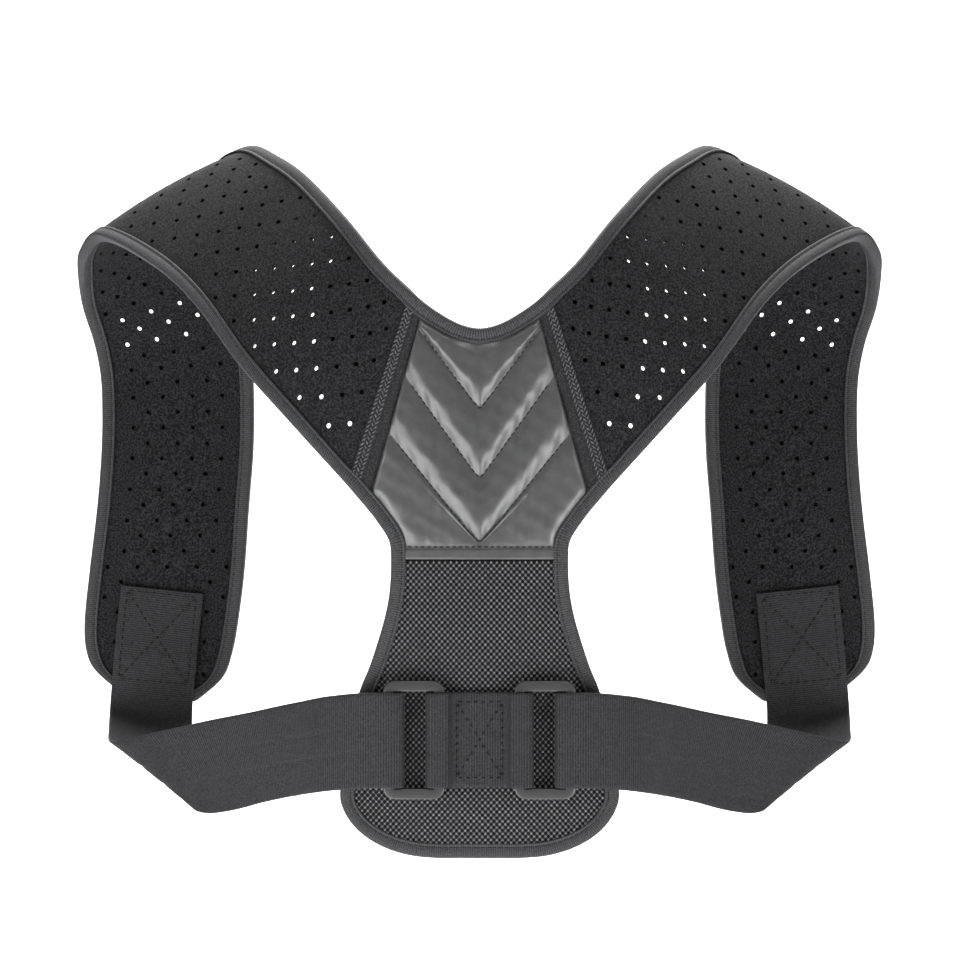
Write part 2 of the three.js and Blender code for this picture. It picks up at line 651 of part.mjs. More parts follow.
function bandRungs(edges, steps) {
  const outer = smoothCurve(edges.map((edge) => edge.outer));
  const inner = smoothCurve(edges.map((edge) => edge.inner));
  const rungs = [];
  for (let k = 0; k + 1 < edges.length; k += 1) {
    for (let i = 0; i < steps[k]; i += 1) {
      const at = (k + i / steps[k]) / (edges.length - 1);
      rungs.push({ outer: outer.getPoint(at), inner: inner.getPoint(at) });
    }
  }
  rungs.push(edges[edges.length - 1]);
  return rungs;
}

// A band through its rungs: the normal of each corner comes from its neighbours.
function bandGeometry(rungs) {
  const columns = [0, 0.5, 1];
  const points = rungs.map(({ outer, inner }) => columns.map((t) => outer.clone().lerp(inner, t)));
  const rows = points.map((row, i) => row.map((point, j) => {
    const along = points[Math.min(i + 1, rungs.length - 1)][j].clone().sub(points[Math.max(i - 1, 0)][j]);
    const across = row[columns.length - 1].clone().sub(row[0]);
    const normal = along.cross(across).normalize();
    return { outside: movedBy(point, normal, webbingHalf), inside: movedBy(point, normal, -webbingHalf) };
  }));
  return wallFrom(rows);
}

// How far in front of or behind a piece's middle surface the belt's middle surface lies.
const onPad = -(padHalf + LAYER_GAP + webbingHalf);
const beltDepths = { pad: onPad, binding: onPad - LAYER_GAP - TAPE_THICKNESS, air: 0 };

const uprightRung = (x, y, z) => ({
  outer: v3(x, y, z + WEBBING_WIDTH / 2),
  inner: v3(x, y, z - WEBBING_WIDTH / 2),
});

const outerBar = RING_CENTRE + ringBarOffset;
const LAYER_PITCH = WEBBING_THICKNESS + LAYER_GAP;
const TUCK_PITCH = LAYER_PITCH + LAYER_GAP;
const FREE_END_STEPS = 2;

function beltGeometry() {
  const side = beltStations.map((station) => bandEdges(station, WEBBING_WIDTH, beltDepths[station.over]));
  const overPanel = beltOverPanel.map(({ out, stand, drop }) => uprightRung(
    lerp(outerBar, lumbarHalf, out),
    -stand * RING_STANDOFF,
    -drop * RING_DROP,
  ));
  const atBar = uprightRung(outerBar, -RING_STANDOFF - wrapRadius, -RING_DROP);
  const beltSteps = [...beltStations, ...beltOverPanel].map(({ steps }) => steps);
  const belt = bandRungs([...side, ...overPanel, atBar], beltSteps);
  const turn = [];
  for (let i = 0; i <= HALF_TURN_STEPS; i += 1) {
    const angle = (Math.PI * i) / HALF_TURN_STEPS;
    const x = outerBar - BELT_SLACK - wrapRadius * Math.sin(angle);
    turn.push(uprightRung(x, -RING_STANDOFF - wrapRadius * Math.cos(angle), -RING_DROP));
  }
  const backStations = [...beltOverPanel].reverse();
  const behind = backStations.map(({ out, stand, drop, layers }) => uprightRung(
    lerp(outerBar, lumbarHalf, out),
    -stand * RING_STANDOFF + layers * LAYER_PITCH,
    -drop * RING_DROP,
  ));
  const tucked = side[side.length - 1];
  const inwards = v3(-1, 1, 0).normalize();
  const freeEnd = {
    outer: movedBy(tucked.outer, inwards, TUCK_PITCH),
    inner: movedBy(tucked.inner, inwards, TUCK_PITCH),
  };
  const leaving = uprightRung(outerBar, -RING_STANDOFF + wrapRadius, -RING_DROP);
  const backSteps = [...backStations.map((station) => station.backSteps), FREE_END_STEPS];
  const back = bandRungs([leaving, ...behind, freeEnd], backSteps);
  return bandGeometry([...belt, ...turn.slice(1), ...back.slice(1)]);
}

// Where the centre webbing bends between its sewn stretch and the bar: shares out and forward.
const RISE_BEND = { out: 0.55, forward: 0.45 };

// The centre webbing: a closed band round both inner bars, sewn down in the middle.
function centreWebbingGeometry() {
  const innerBar = RING_CENTRE - ringBarOffset;
  const turnAt = innerBar + LOOP_SLACK;
  const rear = -(padHalf + MESH_CROWN + LAYER_GAP + webbingHalf);
  const front = rear - LAYER_PITCH;
  const over = -RING_STANDOFF - wrapRadius;
  const clearOfBar = innerBar - RING_BAR / 2 - LAYER_GAP - webbingHalf;
  const halfFront = [
    [0, front],
    [STITCHED_HALF, front],
    [lerp(STITCHED_HALF, clearOfBar, RISE_BEND.out), lerp(front, over, RISE_BEND.forward)],
    [clearOfBar, over],
    [turnAt, over],
  ];
  const turn = [];
  for (let i = 1; i < HALF_TURN_STEPS; i += 1) {
    const angle = (Math.PI * i) / HALF_TURN_STEPS;
    turn.push([turnAt + wrapRadius * Math.sin(angle), -RING_STANDOFF - wrapRadius * Math.cos(angle)]);
  }
  const halfRear = [[turnAt, -RING_STANDOFF + wrapRadius], [STITCHED_HALF, rear], [0, rear]];
  const half = [...halfFront, ...turn, ...halfRear];
  const path = [...half, ...half.slice(1, -1).reverse().map(([x, y]) => [-x, y])];
  const rows = path.map(([x, y], i) => {
    const [ax, ay] = path[(i + path.length - 1) % path.length];
    const [bx, by] = path[(i + 1) % path.length];
    const length = Math.hypot(bx - ax, by - ay);
    const normal = v3((by - ay) / length, -(bx - ax) / length, 0);
    return [-1, 1].map((end) => {
      const point = v3(x, y, -RING_DROP + (end * WEBBING_WIDTH) / 2);
      return { outside: movedBy(point, normal, webbingHalf), inside: movedBy(point, normal, -webbingHalf) };
    });
  });
  return wallFrom(rows, true);
}

function roundedRectangle(Kind, width, height, corner) {
  const [w, h] = [width / 2, height / 2];
  const shape = new Kind();
  shape.absarc(w - corner, h - corner, corner, 0, Math.PI / 2);
  shape.absarc(-w + corner, h - corner, corner, Math.PI / 2, Math.PI);
  shape.absarc(-w + corner, -h + corner, corner, Math.PI, 1.5 * Math.PI);
  shape.absarc(w - corner, -h + corner, corner, 1.5 * Math.PI, 2 * Math.PI);
  shape.closePath();
  return shape;
}

function ringGeometry() {
  const window = [RING_WIDTH - 2 * RING_BAR, WEBBING_WIDTH + WINDOW_SLACK];
  const height = window[1] + 2 * RING_BAR;
  const bevelled = 2 * RING_EDGE;
  const corner = RING_CORNER - RING_EDGE;
  const shape = roundedRectangle(THREE.Shape, RING_WIDTH - bevelled, height - bevelled, corner);
  const windowCorner = RING_CORNER - RING_BAR / 2;
  shape.holes.push(roundedRectangle(THREE.Path, window[0] + bevelled, window[1] + bevelled, windowCorner));
  const ring = new THREE.ExtrudeGeometry(shape, {
    depth: RING_THICKNESS - bevelled,
    bevelThickness: RING_EDGE,
    bevelSize: RING_EDGE,
    bevelSegments: 1,
    curveSegments: 3,
  });
  ring.translate(0, 0, RING_EDGE - RING_THICKNESS / 2);
  ring.rotateX(Math.PI / 2);
  return ring.translate(RING_CENTRE, -RING_STANDOFF, -RING_DROP);
}

// Colours and finishes

const finish = (color, roughness, metalness = 0) => ({ color, roughness, metalness });
const neoprene = finish('#262626', 0.9);
const coatedFabric = finish('#5c5c5c', 0.45);
const airMesh = finish('#303030', 0.85);
const tapeRib = finish('#505050', 0.7);
const webbingRib = finish('#404040', 0.65);
const ringPlastic = finish('#1c1c1c', 0.3);

const assembly = new THREE.Group();

function addPiece(name, geometry, look) {
  const piece = new THREE.Mesh(geometry, new THREE.MeshStandardMaterial(look));
  piece.name = name;
  assembly.add(piece);
}

function addPair(name, geometry, look) {
  addPiece(`${name}_right`, geometry, look);
  addPiece(`${name}_left`, mirrored(geometry), look);
}

const ventedPad = geometryFrom(solidFrom(padGeometry()).subtract(ventTool()));
addPair('shoulder_pad', ventedPad, neoprene);
addPiece('quilted_panel', quiltGeometry(), coatedFabric);
addPiece('mesh_panel', meshGeometry(), airMesh);
addPair('seam_strip', stripGeometry(), tapeRib);
addPiece('edge_binding', bindingGeometry(), tapeRib);
addPair('belt_webbing', beltGeometry(), webbingRib);
addPair('square_ring', geometryFrom(solidFrom(ringGeometry())), ringPlastic);
addPiece('centre_webbing', centreWebbingGeometry(), webbingRib);

// The origin lies on the centre line between the shoulders, level with the underside of the straps
// at their ridge, where the part rests when it is worn.
const ridge = strapStations.find(({ name }) => name === 'ridge');
assembly.position.set(0, -ridge.y * CHEST_DEPTH, -(ridge.z * SHOULDER_RISE - padHalf));

export default assembly;
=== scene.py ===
# %% [markdown]
# # A shoulder-strap posture corrector
# Two padded neoprene straps, a quilted panel and a mesh panel are joined by one tape binding, and
# two webbing belts run from the straps round the sides to rings on the back. It is shown as worn.
# Shapes are worked out in millimetres from the waist and the middle of the back, as in the CAD
# source, and moved to the shared frame in metres at the end.

import math

import bpy
import numpy as np
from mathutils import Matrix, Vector


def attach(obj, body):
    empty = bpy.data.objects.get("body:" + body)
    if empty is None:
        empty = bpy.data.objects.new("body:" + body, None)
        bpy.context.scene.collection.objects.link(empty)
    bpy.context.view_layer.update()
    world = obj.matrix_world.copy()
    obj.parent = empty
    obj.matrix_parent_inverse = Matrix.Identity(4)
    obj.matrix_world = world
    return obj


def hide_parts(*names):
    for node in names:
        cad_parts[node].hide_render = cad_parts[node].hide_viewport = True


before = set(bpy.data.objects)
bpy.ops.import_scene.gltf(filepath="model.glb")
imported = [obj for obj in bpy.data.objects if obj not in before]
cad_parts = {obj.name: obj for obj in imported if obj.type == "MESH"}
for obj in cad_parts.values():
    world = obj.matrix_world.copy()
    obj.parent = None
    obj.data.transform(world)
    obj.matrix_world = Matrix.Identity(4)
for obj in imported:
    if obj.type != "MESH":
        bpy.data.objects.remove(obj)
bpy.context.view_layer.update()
scene = bpy.context.scene

# %% [markdown]
# ## Sizes
# The same named sizes and tables as the CAD source, so that both models share one shape.

# %% Sizes
HALF_SPAN, SHOULDER_RISE, FRONT_DROP, CHEST_DEPTH = 211, 198, 84, 160
STRAP_WIDTH, SHOULDER_CROWN = 81, 3.3
BACK_WRAP, NECK_HEIGHT = 4, 103.4
SEAM_TOP_HEIGHT, SEAM_TOP_HALF, SEAM_FOOT_HEIGHT, SEAM_FOOT_HALF = 121.2, 31.5, 30.3, 61.5
STRIP_TOP_WIDTH, STRIP_FOOT_WIDTH = 7.5, 12
WAIST_WIDTH, LUMBAR_WIDTH, WIDEST_DROP = 82.6, 130.2, 113
CORNER_REACH, CORNER_RISE = 45, 30
HEM_DROP, HEM_TOP, HEM_RAISE, PUFF, MESH_CROWN = 4, 0.9, 0.9, 2.8, 2
PAD, TAPE, BINDING_WIDTH = 3.5, 1, 7
WEBBING_WIDTH, WEBBING, LAYER_GAP, SEAM_GAP = 44, 1.6, 0.35, 0.3
RING_WIDTH, RING_BAR, RING_THICKNESS, RING_CORNER = 28.6, 5, 4, 5
RING_CENTRE, RING_DROP, RING_STANDOFF, WINDOW_SLACK = 30.3, 87.2, 8, 0.8
BELT_SLACK, LOOP_SLACK, STITCHED_HALF = 3.8, 2.8, 11.4
VENT_DIAMETER, VENT_PITCH, VENT_MARGIN = 2.4, 11.2, 2.5
RIDGE_DEPTH_SHARE, RIDGE_HEIGHT_SHARE = 0.538, 0.891

# x, y, z, width, lean, turn, crown of each strap station: shares of the sizes above, and degrees
STRAP = [
    (0.320, 0.050, 0.495, 1.07, 60, 0, 0.2),
    (0.419, 0.125, 0.619, 1.07, 55, 3, 0.4),
    (0.521, 0.259, 0.750, 1.02, 49, 7, 0.6),
    (0.612, 0.381, 0.831, 1.01, 40, 4, 0.8),
    (0.718, 0.538, 0.891, 1.11, 29, -4, 1),
    (0.784, 0.656, 0.863, 1.10, 31, -5, 1),
    (0.803, 0.788, 0.802, 1.10, 29, -5, 1),
    (0.801, 0.890, 0.707, 1.07, 23, -3, 0.8),
    (0.782, 0.956, 0.586, 1.01, 13, -1, 0.6),
    (0.766, 0.990, 0.467, 1, 4, 0, 0.4),
    (0.762, 1, 0.364, 1, 1, 0, 0.3),
    (0.764, 1, 0.242, 1, 0, 0, 0.3),
    (0.775, 1, 0.091, 1, 0, 0, 0.3),
    (0.790, 1, -0.18, 1.02, 0, 0, 0.3),
    (0.805, 1, -0.52, 1.01, 0, 0, 0.3),
    (0.809, 1, -0.71, 0.955, 0, 0, 0.2),
    (0.809, 1, -0.845, 0.83, -3, 0, 0.1),
    (0.807, 1, -1, 0.46, -5, 0, 0),
]
# x, y, z, width, lean, turn, and the depth offset of each belt station
ON_PAD = -(PAD / 2 + LAYER_GAP + WEBBING / 2)
ON_BINDING = ON_PAD - LAYER_GAP - TAPE
BELT = [
    (0.800, 1, -0.30, 1, -6, 0, ON_PAD),
    (0.812, 1, -0.58, 1, -6, 0, ON_PAD),
    (0.817, 1, -0.74, 1, -6, 0, ON_BINDING),
    (0.827, 0.992, -1.06, 1, -6, -2, ON_BINDING),
    (0.803, 0.75, -1.24, 1.14, -20, -13, 0),
    (0.778, 0.517, -1.362, 1.28, -35, -19, 0),
    (0.721, 0.472, -1.351, 1.25, -44.5, -21, 0),
    (0.659, 0.422, -1.312, 1.12, -58, -17, 0),
    (0.586, 0.350, -1.261, 1.04, -72.5, -10, 0),
    (0.514, 0.269, -1.206, 1, -81, -3, 0),
    (0.433, 0.163, -1.143, 1, -86, 0, 0),
]
# out, stand, drop, and layers behind, where the belt lies over the mesh panel
OVER_PANEL = [(1.45, -0.62, 1.045, 1.7), (1, 0.44, 1.02, 1.35), (0.55, 1.06, 1.006, 1.9)]
ARM = [(0, 0), (0.01, 0.1), (0.09, 0.228), (0.277, 0.41), (0.485, 0.597), (0.72, 0.78), (1, 1)]
NECK = [(0, 0), (0.216, 0.079), (0.42, 0.236), (0.705, 0.55), (0.9, 0.82), (1, 1)]
LUMBAR = [
    (0, 0), (0.088, 0), (0.187, 0.038), (0.286, 0.134), (0.385, 0.273),
    (0.484, 0.429), (0.583, 0.62), (0.79, 0.87), (1, 1),
]
# apex, side, lift, spread of each line across the quilted panel
QUILT = [
    (0.87, 1.036, 0.6, 0), (0.75, 1.029, 1, 0), (0.644, 1.018, 0, 0),
    (0.57, 0.965, 0.5, 0), (0.44, 0.885, 1, 0), (0.333, 0.802, 0, 0),
    (0.26, 0.74, 0.5, 0), (0.145, 0.645, 1, 0), (0.040, 0.545, 0, 0),
    (0.036, 0.47, 0.8, 1), (0.032, 0.30, 1, 1), (0.028, 0.18, 0.8, 1),
    (0.025, 0.10, 0.5, 1), (0.022, 0.055, 0.3, 1), (0.018, 0.018, 0, 1),
]

# Length of cloth between rows of points: a rib's valley and its crest take one row each
BINDING_STEP, RIB_STEP = 0.53, 0.6
EDGE_INSET = TAPE + LAYER_GAP
BINDING_HALF = PAD / 2 + LAYER_GAP + TAPE
FRAME_SHIFT = np.array(
    [0, -RIDGE_DEPTH_SHARE * CHEST_DEPTH, -(RIDGE_HEIGHT_SHARE * SHOULDER_RISE - PAD / 2)]
)

# %% [markdown]
# ## Small tools
# Vectors are rows of numpy arrays. A grid of points becomes a wall of cloth or a closed tube.

# %% Tools
def unit(v):
    return v / np.maximum(np.linalg.norm(v, axis=-1, keepdims=True), 1e-12)


def mix(a, b, t):
    return a + (b - a) * t


def catmull(points, at):
    points = np.asarray(points, float)
    spans = len(points) - 1
    line = np.vstack([2 * points[0] - points[1], points, 2 * points[-1] - points[-2]])
    place = np.clip(np.asarray(at, float), 0, 1) * spans
    k = np.minimum(place.astype(int), spans - 1)
    w = (place - k)[..., None]
    a, b, c, d = (line[k + i] for i in range(4))
    t0, t1 = 0.5 * (c - a), 0.5 * (d - b)
    return (2 * b - 2 * c + t0 + t1) * w**3 + (3 * c - 3 * b - 2 * t0 - t1) * w**2 + t0 * w + b


def lengths(line):
    steps = np.linalg.norm(np.diff(line, axis=0), axis=1)
    return np.concatenate([[0], np.cumsum(steps)])


def even_places(line, step):
    total = lengths(line)
    count = max(int(round(total[-1] / step)), 2)
    return np.interp(np.linspace(0, total[-1], count + 1), total, np.arange(len(line)))


def at_places(values, places):
    k = np.minimum(places.astype(int), len(values) - 2)
    w = (places - k).reshape((-1,) + (1,) * (values.ndim - 1))
    return values[k] * (1 - w) + values[k + 1] * w


def smoothed(values, reach, closed=False):
    kernel = np.exp(-0.5 * (np.arange(-3 * reach, 3 * reach + 1) / reach) ** 2)
    kernel /= kernel.sum()
    pad = 3 * reach
    if closed:
        padded = np.concatenate([values[-pad:], values, values[:pad]])
    else:
        head = 2 * values[:1] - values[1 : pad + 1][::-1]
        tail = 2 * values[-1:] - values[-pad - 1 : -1][::-1]
        padded = np.concatenate([head, values, tail])
    flat = padded.reshape(len(padded), -1)
    out = np.stack([np.convolve(c, kernel, "valid") for c in flat.T], axis=1)
    return out.reshape(values.shape)


def make_mesh(name, points, faces, uv=None, mirror=False):
    points = np.asarray(points, float)
    if mirror:
        points = points * [-1, 1, 1]
        faces = [f[::-1] for f in faces]
    mesh = bpy.data.meshes.new(name)
    mesh.from_pydata(((points + FRAME_SHIFT) / 1000).tolist(), [], faces)
    if uv is not None:
        layer = mesh.uv_layers.new(name="cloth_mm")
        index = np.empty(len(mesh.loops), int)
        mesh.loops.foreach_get("vertex_index", index)
        layer.data.foreach_set("uv", np.asarray(uv, float)[index].ravel())
    mesh.polygons.foreach_set("use_smooth", [True] * len(mesh.polygons))
    mesh.update()
    obj = bpy.data.objects.new(name, mesh)
    scene.collection.objects.link(obj)
    return obj


def tube(name, sections, uv=None, closed=False, mirror=False):
    """Rings of points joined one to the next, with flat ends unless the path is closed."""
    n, k = sections.shape[:2]
    faces = []
    for i in range(n if closed else n - 1):
        j = (i + 1) % n
        for m in range(k):
            q = (m + 1) % k
            faces.append([i * k + m, j * k + m, j * k + q, i * k + q])
    if not closed:
        faces.append(list(range(k)))
        faces.append([(n - 1) * k + m for m in range(k)][::-1])
    points = sections.reshape(-1, 3)
    probe = [f for f in faces if len(f) == 4]
    a, b, c, d = (points[[f[i] for f in probe]] for i in range(4))
    volume = (a * np.cross(b, c)).sum() + (a * np.cross(c, d)).sum()
    if volume < 0:
        faces = [f[::-1] for f in faces]
    return make_mesh(name, points, faces, uv, mirror)


def wall(name, outside, inside, uv=None, mirror=False):
    """A closed wall between two grids of points."""
    n, m = outside.shape[:2]
    rim = (
        [(0, j) for j in range(m)]
        + [(i, m - 1) for i in range(1, n)]
        + [(n - 1, j) for j in range(m - 2, -1, -1)]
        + [(i, 0) for i in range(n - 2, 0, -1)]
    )
    size = n * m
    faces = []
    for i in range(n - 1):
        for j in range(m - 1):
            q = [i * m + j, (i + 1) * m + j, (i + 1) * m + j + 1, i * m + j + 1]
            faces.append(q)
            faces.append([v + size for v in q[::-1]])
    for a, b in zip(rim, rim[1:] + rim[:1]):
        p, q = a[0] * m + a[1], b[0] * m + b[1]
        faces.append([p, q, q + size, p + size])
    points = np.concatenate([outside.reshape(-1, 3), inside.reshape(-1, 3)])
    a, b, c, d = (points[[f[i] for f in faces]] for i in range(4))
    if (a * np.cross(b, c)).sum() + (a * np.cross(c, d)).sum() < 0:
        faces = [f[::-1] for f in faces]
    both = None if uv is None else np.concatenate([uv.reshape(-1, 2), uv.reshape(-1, 2)])
    return make_mesh(name, points, faces, both, mirror)


# %% [markdown]
# ## Materials
# Each finish starts from the real cloth: how it is made sets the pattern and its size in
# millimetres, read from the object's coordinates, and for woven tape also from the piece's own map of the cloth.

# %% Material tools


def linear(hex_code):
    values = [int(hex_code[i : i + 2], 16) / 255 for i in (1, 3, 5)]
    return [v / 12.92 if v < 0.04045 else ((v + 0.055) / 1.055) ** 2.4 for v in values] + [1]


def node(tree, kind, settings=None, inputs=None):
    made = tree.nodes.new(kind)
    for key, value in (settings or {}).items():
        setattr(made, key, value)
    for key, value in (inputs or {}).items():
        if isinstance(value, bpy.types.NodeSocket):
            tree.links.new(value, made.inputs[key])
        else:
            made.inputs[key].default_value = value
    return made


def new_material(name, rough, sheen=0.0, ior=1.5, coat=0.0, specular=0.5):
    material = bpy.data.materials.new(name)
    material.use_nodes = True
    tree = material.node_tree
    tree.nodes.clear()
    shader = node(tree, "ShaderNodeBsdfPrincipled", None, {
        "Roughness": rough, "IOR": ior, "Specular IOR Level": specular,
        "Sheen Weight": sheen, "Sheen Roughness": 0.5, "Coat Weight": coat, "Coat Roughness": 0.3,
    })
    output = node(tree, "ShaderNodeOutputMaterial")
    tree.links.new(shader.outputs[0], output.inputs[0])
    return material, tree, shader


def ramp(tree, value, dark, light, low=0.3, high=0.7):
    made = node(tree, "ShaderNodeValToRGB", None, {"Fac": value})
    made.color_ramp.elements[0].position, made.color_ramp.elements[0].color = low, linear(dark)
    made.color_ramp.elements[1].position, made.color_ramp.elements[1].color = high, linear(light)
    return made.outputs[0]


def bumped(tree, shader, height, strength, distance_mm):
    made = node(tree, "ShaderNodeBump", None, {
        "Height": height, "Strength": strength, "Distance": distance_mm / 1000,
    })
    tree.links.new(made.outputs[0], shader.inputs["Normal"])


def in_mm(tree):
    """Object coordinates in millimetres."""
    place = node(tree, "ShaderNodeTexCoord")
    scale = node(tree, "ShaderNodeVectorMath", {"operation": "SCALE"}, {0: place.outputs["Object"], "Scale": 1000})
    return scale.outputs[0]


def cloth_map(tree):
    return node(tree, "ShaderNodeUVMap", {"uv_map": "cloth_mm"}).outputs[0]


def noise(tree, where, scale, detail=2.0):
    return node(tree, "ShaderNodeTexNoise", None, {"Vector": where, "Scale": scale, "Detail": detail}).outputs[0]


# %% Materials


def neoprene_finish():
    material, tree, shader = new_material("vented_neoprene", 0.95, sheen=0.03, specular=0.2)
    where = in_mm(tree)
    knit = node(tree, "ShaderNodeTexVoronoi", None, {"Vector": where, "Scale": 1.7}).outputs["Distance"]
    speck = noise(tree, where, 1.1, 3)
    tree.links.new(ramp(tree, speck, "#080809", "#2a2a2c", 0.4, 0.64), shader.inputs["Base Color"])
    bumped(tree, shader, knit, 0.5, 0.15)
    return material


def coated_finish():
    material, tree, shader = new_material("coated_fabric", 0.42, coat=0.6)
    where = in_mm(tree)
    grain = node(tree, "ShaderNodeTexVoronoi", {"feature": "DISTANCE_TO_EDGE"}, {"Vector": where, "Scale": 1.1})
    soft = noise(tree, where, 0.25, 3)
    tree.links.new(ramp(tree, soft, "#3c3c3d", "#474748"), shader.inputs["Base Color"])
    bumped(tree, shader, grain.outputs[0], 0.18, 0.08)
    return material


def plain_cloth(name, dark, light, rough, sheen, speck=1.3, bump=0.3):
    material, tree, shader = new_material(name, rough, sheen=sheen, specular=0.3)
    where = in_mm(tree)
    value = noise(tree, where, speck, 3)
    tree.links.new(ramp(tree, value, dark, light, 0.35, 0.68), shader.inputs["Base Color"])
    fibre = noise(tree, where, 4.5, 2)
    bumped(tree, shader, fibre, bump, 0.1)
    return material


def strip_finish():
    material, tree, shader = new_material("strip_cloth", 0.8, sheen=0.03, specular=0.3)
    where = in_mm(tree)
    cells = node(tree, "ShaderNodeTexVoronoi", None, {"Vector": where, "Scale": 1.25})
    tree.links.new(ramp(tree, cells.outputs["Distance"], "#404042", "#18181a", 0.05, 0.45), shader.inputs["Base Color"])
    bumped(tree, shader, cells.outputs["Distance"], 0.6, -0.25)
    return material


def woven(name, shaded_valley_tone, lit_crest_tone, rough, specular, rib_step, thread_mm):
    """Ribs are in the mesh, two rows each; their valleys are also painted darker as shade and their crests lighter as
    painted light, and finer threads run along.
    """
    material, tree, shader = new_material(name, rough, specular=specular)
    along, across = node(tree, "ShaderNodeSeparateXYZ", None, {0: cloth_map(tree)}).outputs[:2]

    def wave(distance, pitch):
        phase = node(tree, "ShaderNodeMath", {"operation": "MULTIPLY"}, {0: distance, 1: 2 * math.pi / pitch})
        return node(tree, "ShaderNodeMath", {"operation": "COSINE"}, {0: phase.outputs[0]}).outputs[0]

    # Painted shade and light: a wave on the rib rows darkens each valley and lightens each crest
    rib = node(tree, "ShaderNodeMath", {"operation": "MULTIPLY_ADD"}, {0: wave(along, 2 * rib_step), 1: -0.22, 2: 0.0})
    value = node(tree, "ShaderNodeMath", {"operation": "ADD"}, {0: noise(tree, in_mm(tree), 1.0, 3), 1: rib.outputs[0]})
    tree.links.new(ramp(tree, value.outputs[0], shaded_valley_tone, lit_crest_tone, 0.22, 0.78), shader.inputs["Base Color"])
    bumped(tree, shader, wave(across, thread_mm), 0.35, 0.06)
    return material


def ring_finish():
    material, tree, shader = new_material("ring_plastic", 0.26, ior=1.48)
    shader.inputs["Base Color"].default_value = linear("#3a3a3b")
    bumped(tree, shader, noise(tree, in_mm(tree), 1.4, 2), 0.06, 0.05)
    return material


NEOPRENE = neoprene_finish()
COATED = coated_finish()
STRIP = strip_finish()
MESH_BASE = plain_cloth("air_mesh_base", "#0b0b0c", "#161617", 0.95, 0.0)
MESH_NET = plain_cloth("air_mesh", "#29292b", "#3e3e40", 0.55, 0.05, speck=0.9)
# Painted highlight: the knots are coloured much lighter than the net's threads
KNOT_HIGHLIGHT_FINISH = plain_cloth("air_mesh_knots_painted_highlight", "#5c5c5e", "#8c8c8e", 0.5, 0.05, speck=0.9)
STRIP_YARN = plain_cloth("strip_yarn", "#3a3a3c", "#68686a", 0.55, 0.05, speck=0.8)
# Binding tape and webbing carry painted shade in the rib valleys and painted light on the rib crests
TAPE_FINISH = woven("binding_tape", "#1d1d1e", "#424244", 0.65, 0.3, BINDING_STEP, 0.7)
WEBBING_FINISH = woven("webbing", "#151516", "#343436", 0.7, 0.2, RIB_STEP, 0.8)
THREAD = plain_cloth("thread", "#040404", "#0c0c0d", 0.7, 0.0, bump=0.1)
RING_FINISH = ring_finish()
print("materials:", len(bpy.data.materials))

# %% [markdown]
# ## Geometry Nodes tools
# Stitches repeat along a path, so they are one capsule of thread set on points by a node tree.
# The tree is made here, gets its sizes from named inputs and ends in plain mesh.

# %% Node tools


def new_tree(name, *sockets):
    tree = bpy.data.node_groups.new(name, "GeometryNodeTree")
    tree.interface.new_socket("Geometry", in_out="INPUT", socket_type="NodeSocketGeometry")
    tree.interface.new_socket("Geometry", in_out="OUTPUT", socket_type="NodeSocketGeometry")
    for title, kind in sockets:
        tree.interface.new_socket(title, in_out="INPUT", socket_type=kind)
    return tree, node(tree, "NodeGroupInput"), node(tree, "NodeGroupOutput")


def applied(obj, tree, values, name):
    """The tree's result as a plain mesh of its own; obj is the start shape and is removed."""
    modifier = obj.modifiers.new("shape", "NODES")
    modifier.node_group = tree
    for item in tree.interface.items_tree:
        if item.in_out == "INPUT" and item.name in values:
            modifier[item.identifier] = values[item.name]
    bpy.context.view_layer.update()
    depsgraph = bpy.context.evaluated_depsgraph_get()
    mesh = bpy.data.meshes.new_from_object(obj.evaluated_get(depsgraph), depsgraph=depsgraph)
    bpy.data.objects.remove(obj)
    mesh.name = name
    made = bpy.data.objects.new(name, mesh)
    scene.collection.objects.link(made)
    return made


def stitch_tree():
    tree, start, end = new_tree(
        "stitches", ("Thread Radius", "NodeSocketFloat"), ("Stitch Length", "NodeSocketFloat"),
        ("Finish", "NodeSocketMaterial"),
    )
    ball = node(tree, "GeometryNodeMeshUVSphere", None, {"Segments": 6, "Rings": 5, "Radius": 1.0})
    half = node(tree, "ShaderNodeMath", {"operation": "MULTIPLY"}, {0: start.outputs["Stitch Length"], 1: 0.5})
    scale = node(tree, "ShaderNodeCombineXYZ", None, {
        0: half.outputs[0], 1: start.outputs["Thread Radius"], 2: start.outputs["Thread Radius"],
    })
    along = node(tree, "GeometryNodeInputNamedAttribute", {"data_type": "FLOAT_VECTOR"}, {"Name": "along"})
    turn = node(tree, "FunctionNodeAxesToRotation", {"primary_axis": "X", "secondary_axis": "Z"}, {
        "Primary Axis": along.outputs[0],
        "Secondary Axis": node(
            tree, "GeometryNodeInputNamedAttribute", {"data_type": "FLOAT_VECTOR"}, {"Name": "up"}
        ).outputs[0],
    })
    placed = node(tree, "GeometryNodeInstanceOnPoints", None, {
        "Points": start.outputs["Geometry"], "Instance": ball.outputs[0],
        "Rotation": turn.outputs[0], "Scale": scale.outputs[0],
    })
    real = node(tree, "GeometryNodeRealizeInstances", None, {0: placed.outputs[0]})
    smooth = node(tree, "GeometryNodeSetShadeSmooth", None, {0: real.outputs[0]})
    painted = node(tree, "GeometryNodeSetMaterial", None, {
        "Geometry": smooth.outputs[0], "Material": start.outputs["Finish"],
    })
    tree.links.new(painted.outputs[0], end.inputs[0])
    return tree


STITCHES = stitch_tree()


def along_line(line, normals, pitch):
    """Evenly spaced points of a line, with the way along it and the surface normal at each."""
    line, normals = np.asarray(line, float), np.asarray(normals, float)
    places = even_places(line, pitch)
    places = (places[:-1] + places[1:]) / 2
    ahead = at_places(line, np.minimum(places + 0.05, len(line) - 1.0001))
    behind = at_places(line, np.maximum(places - 0.05, 0))
    return at_places(line, places), unit(ahead - behind), unit(at_places(normals, places))


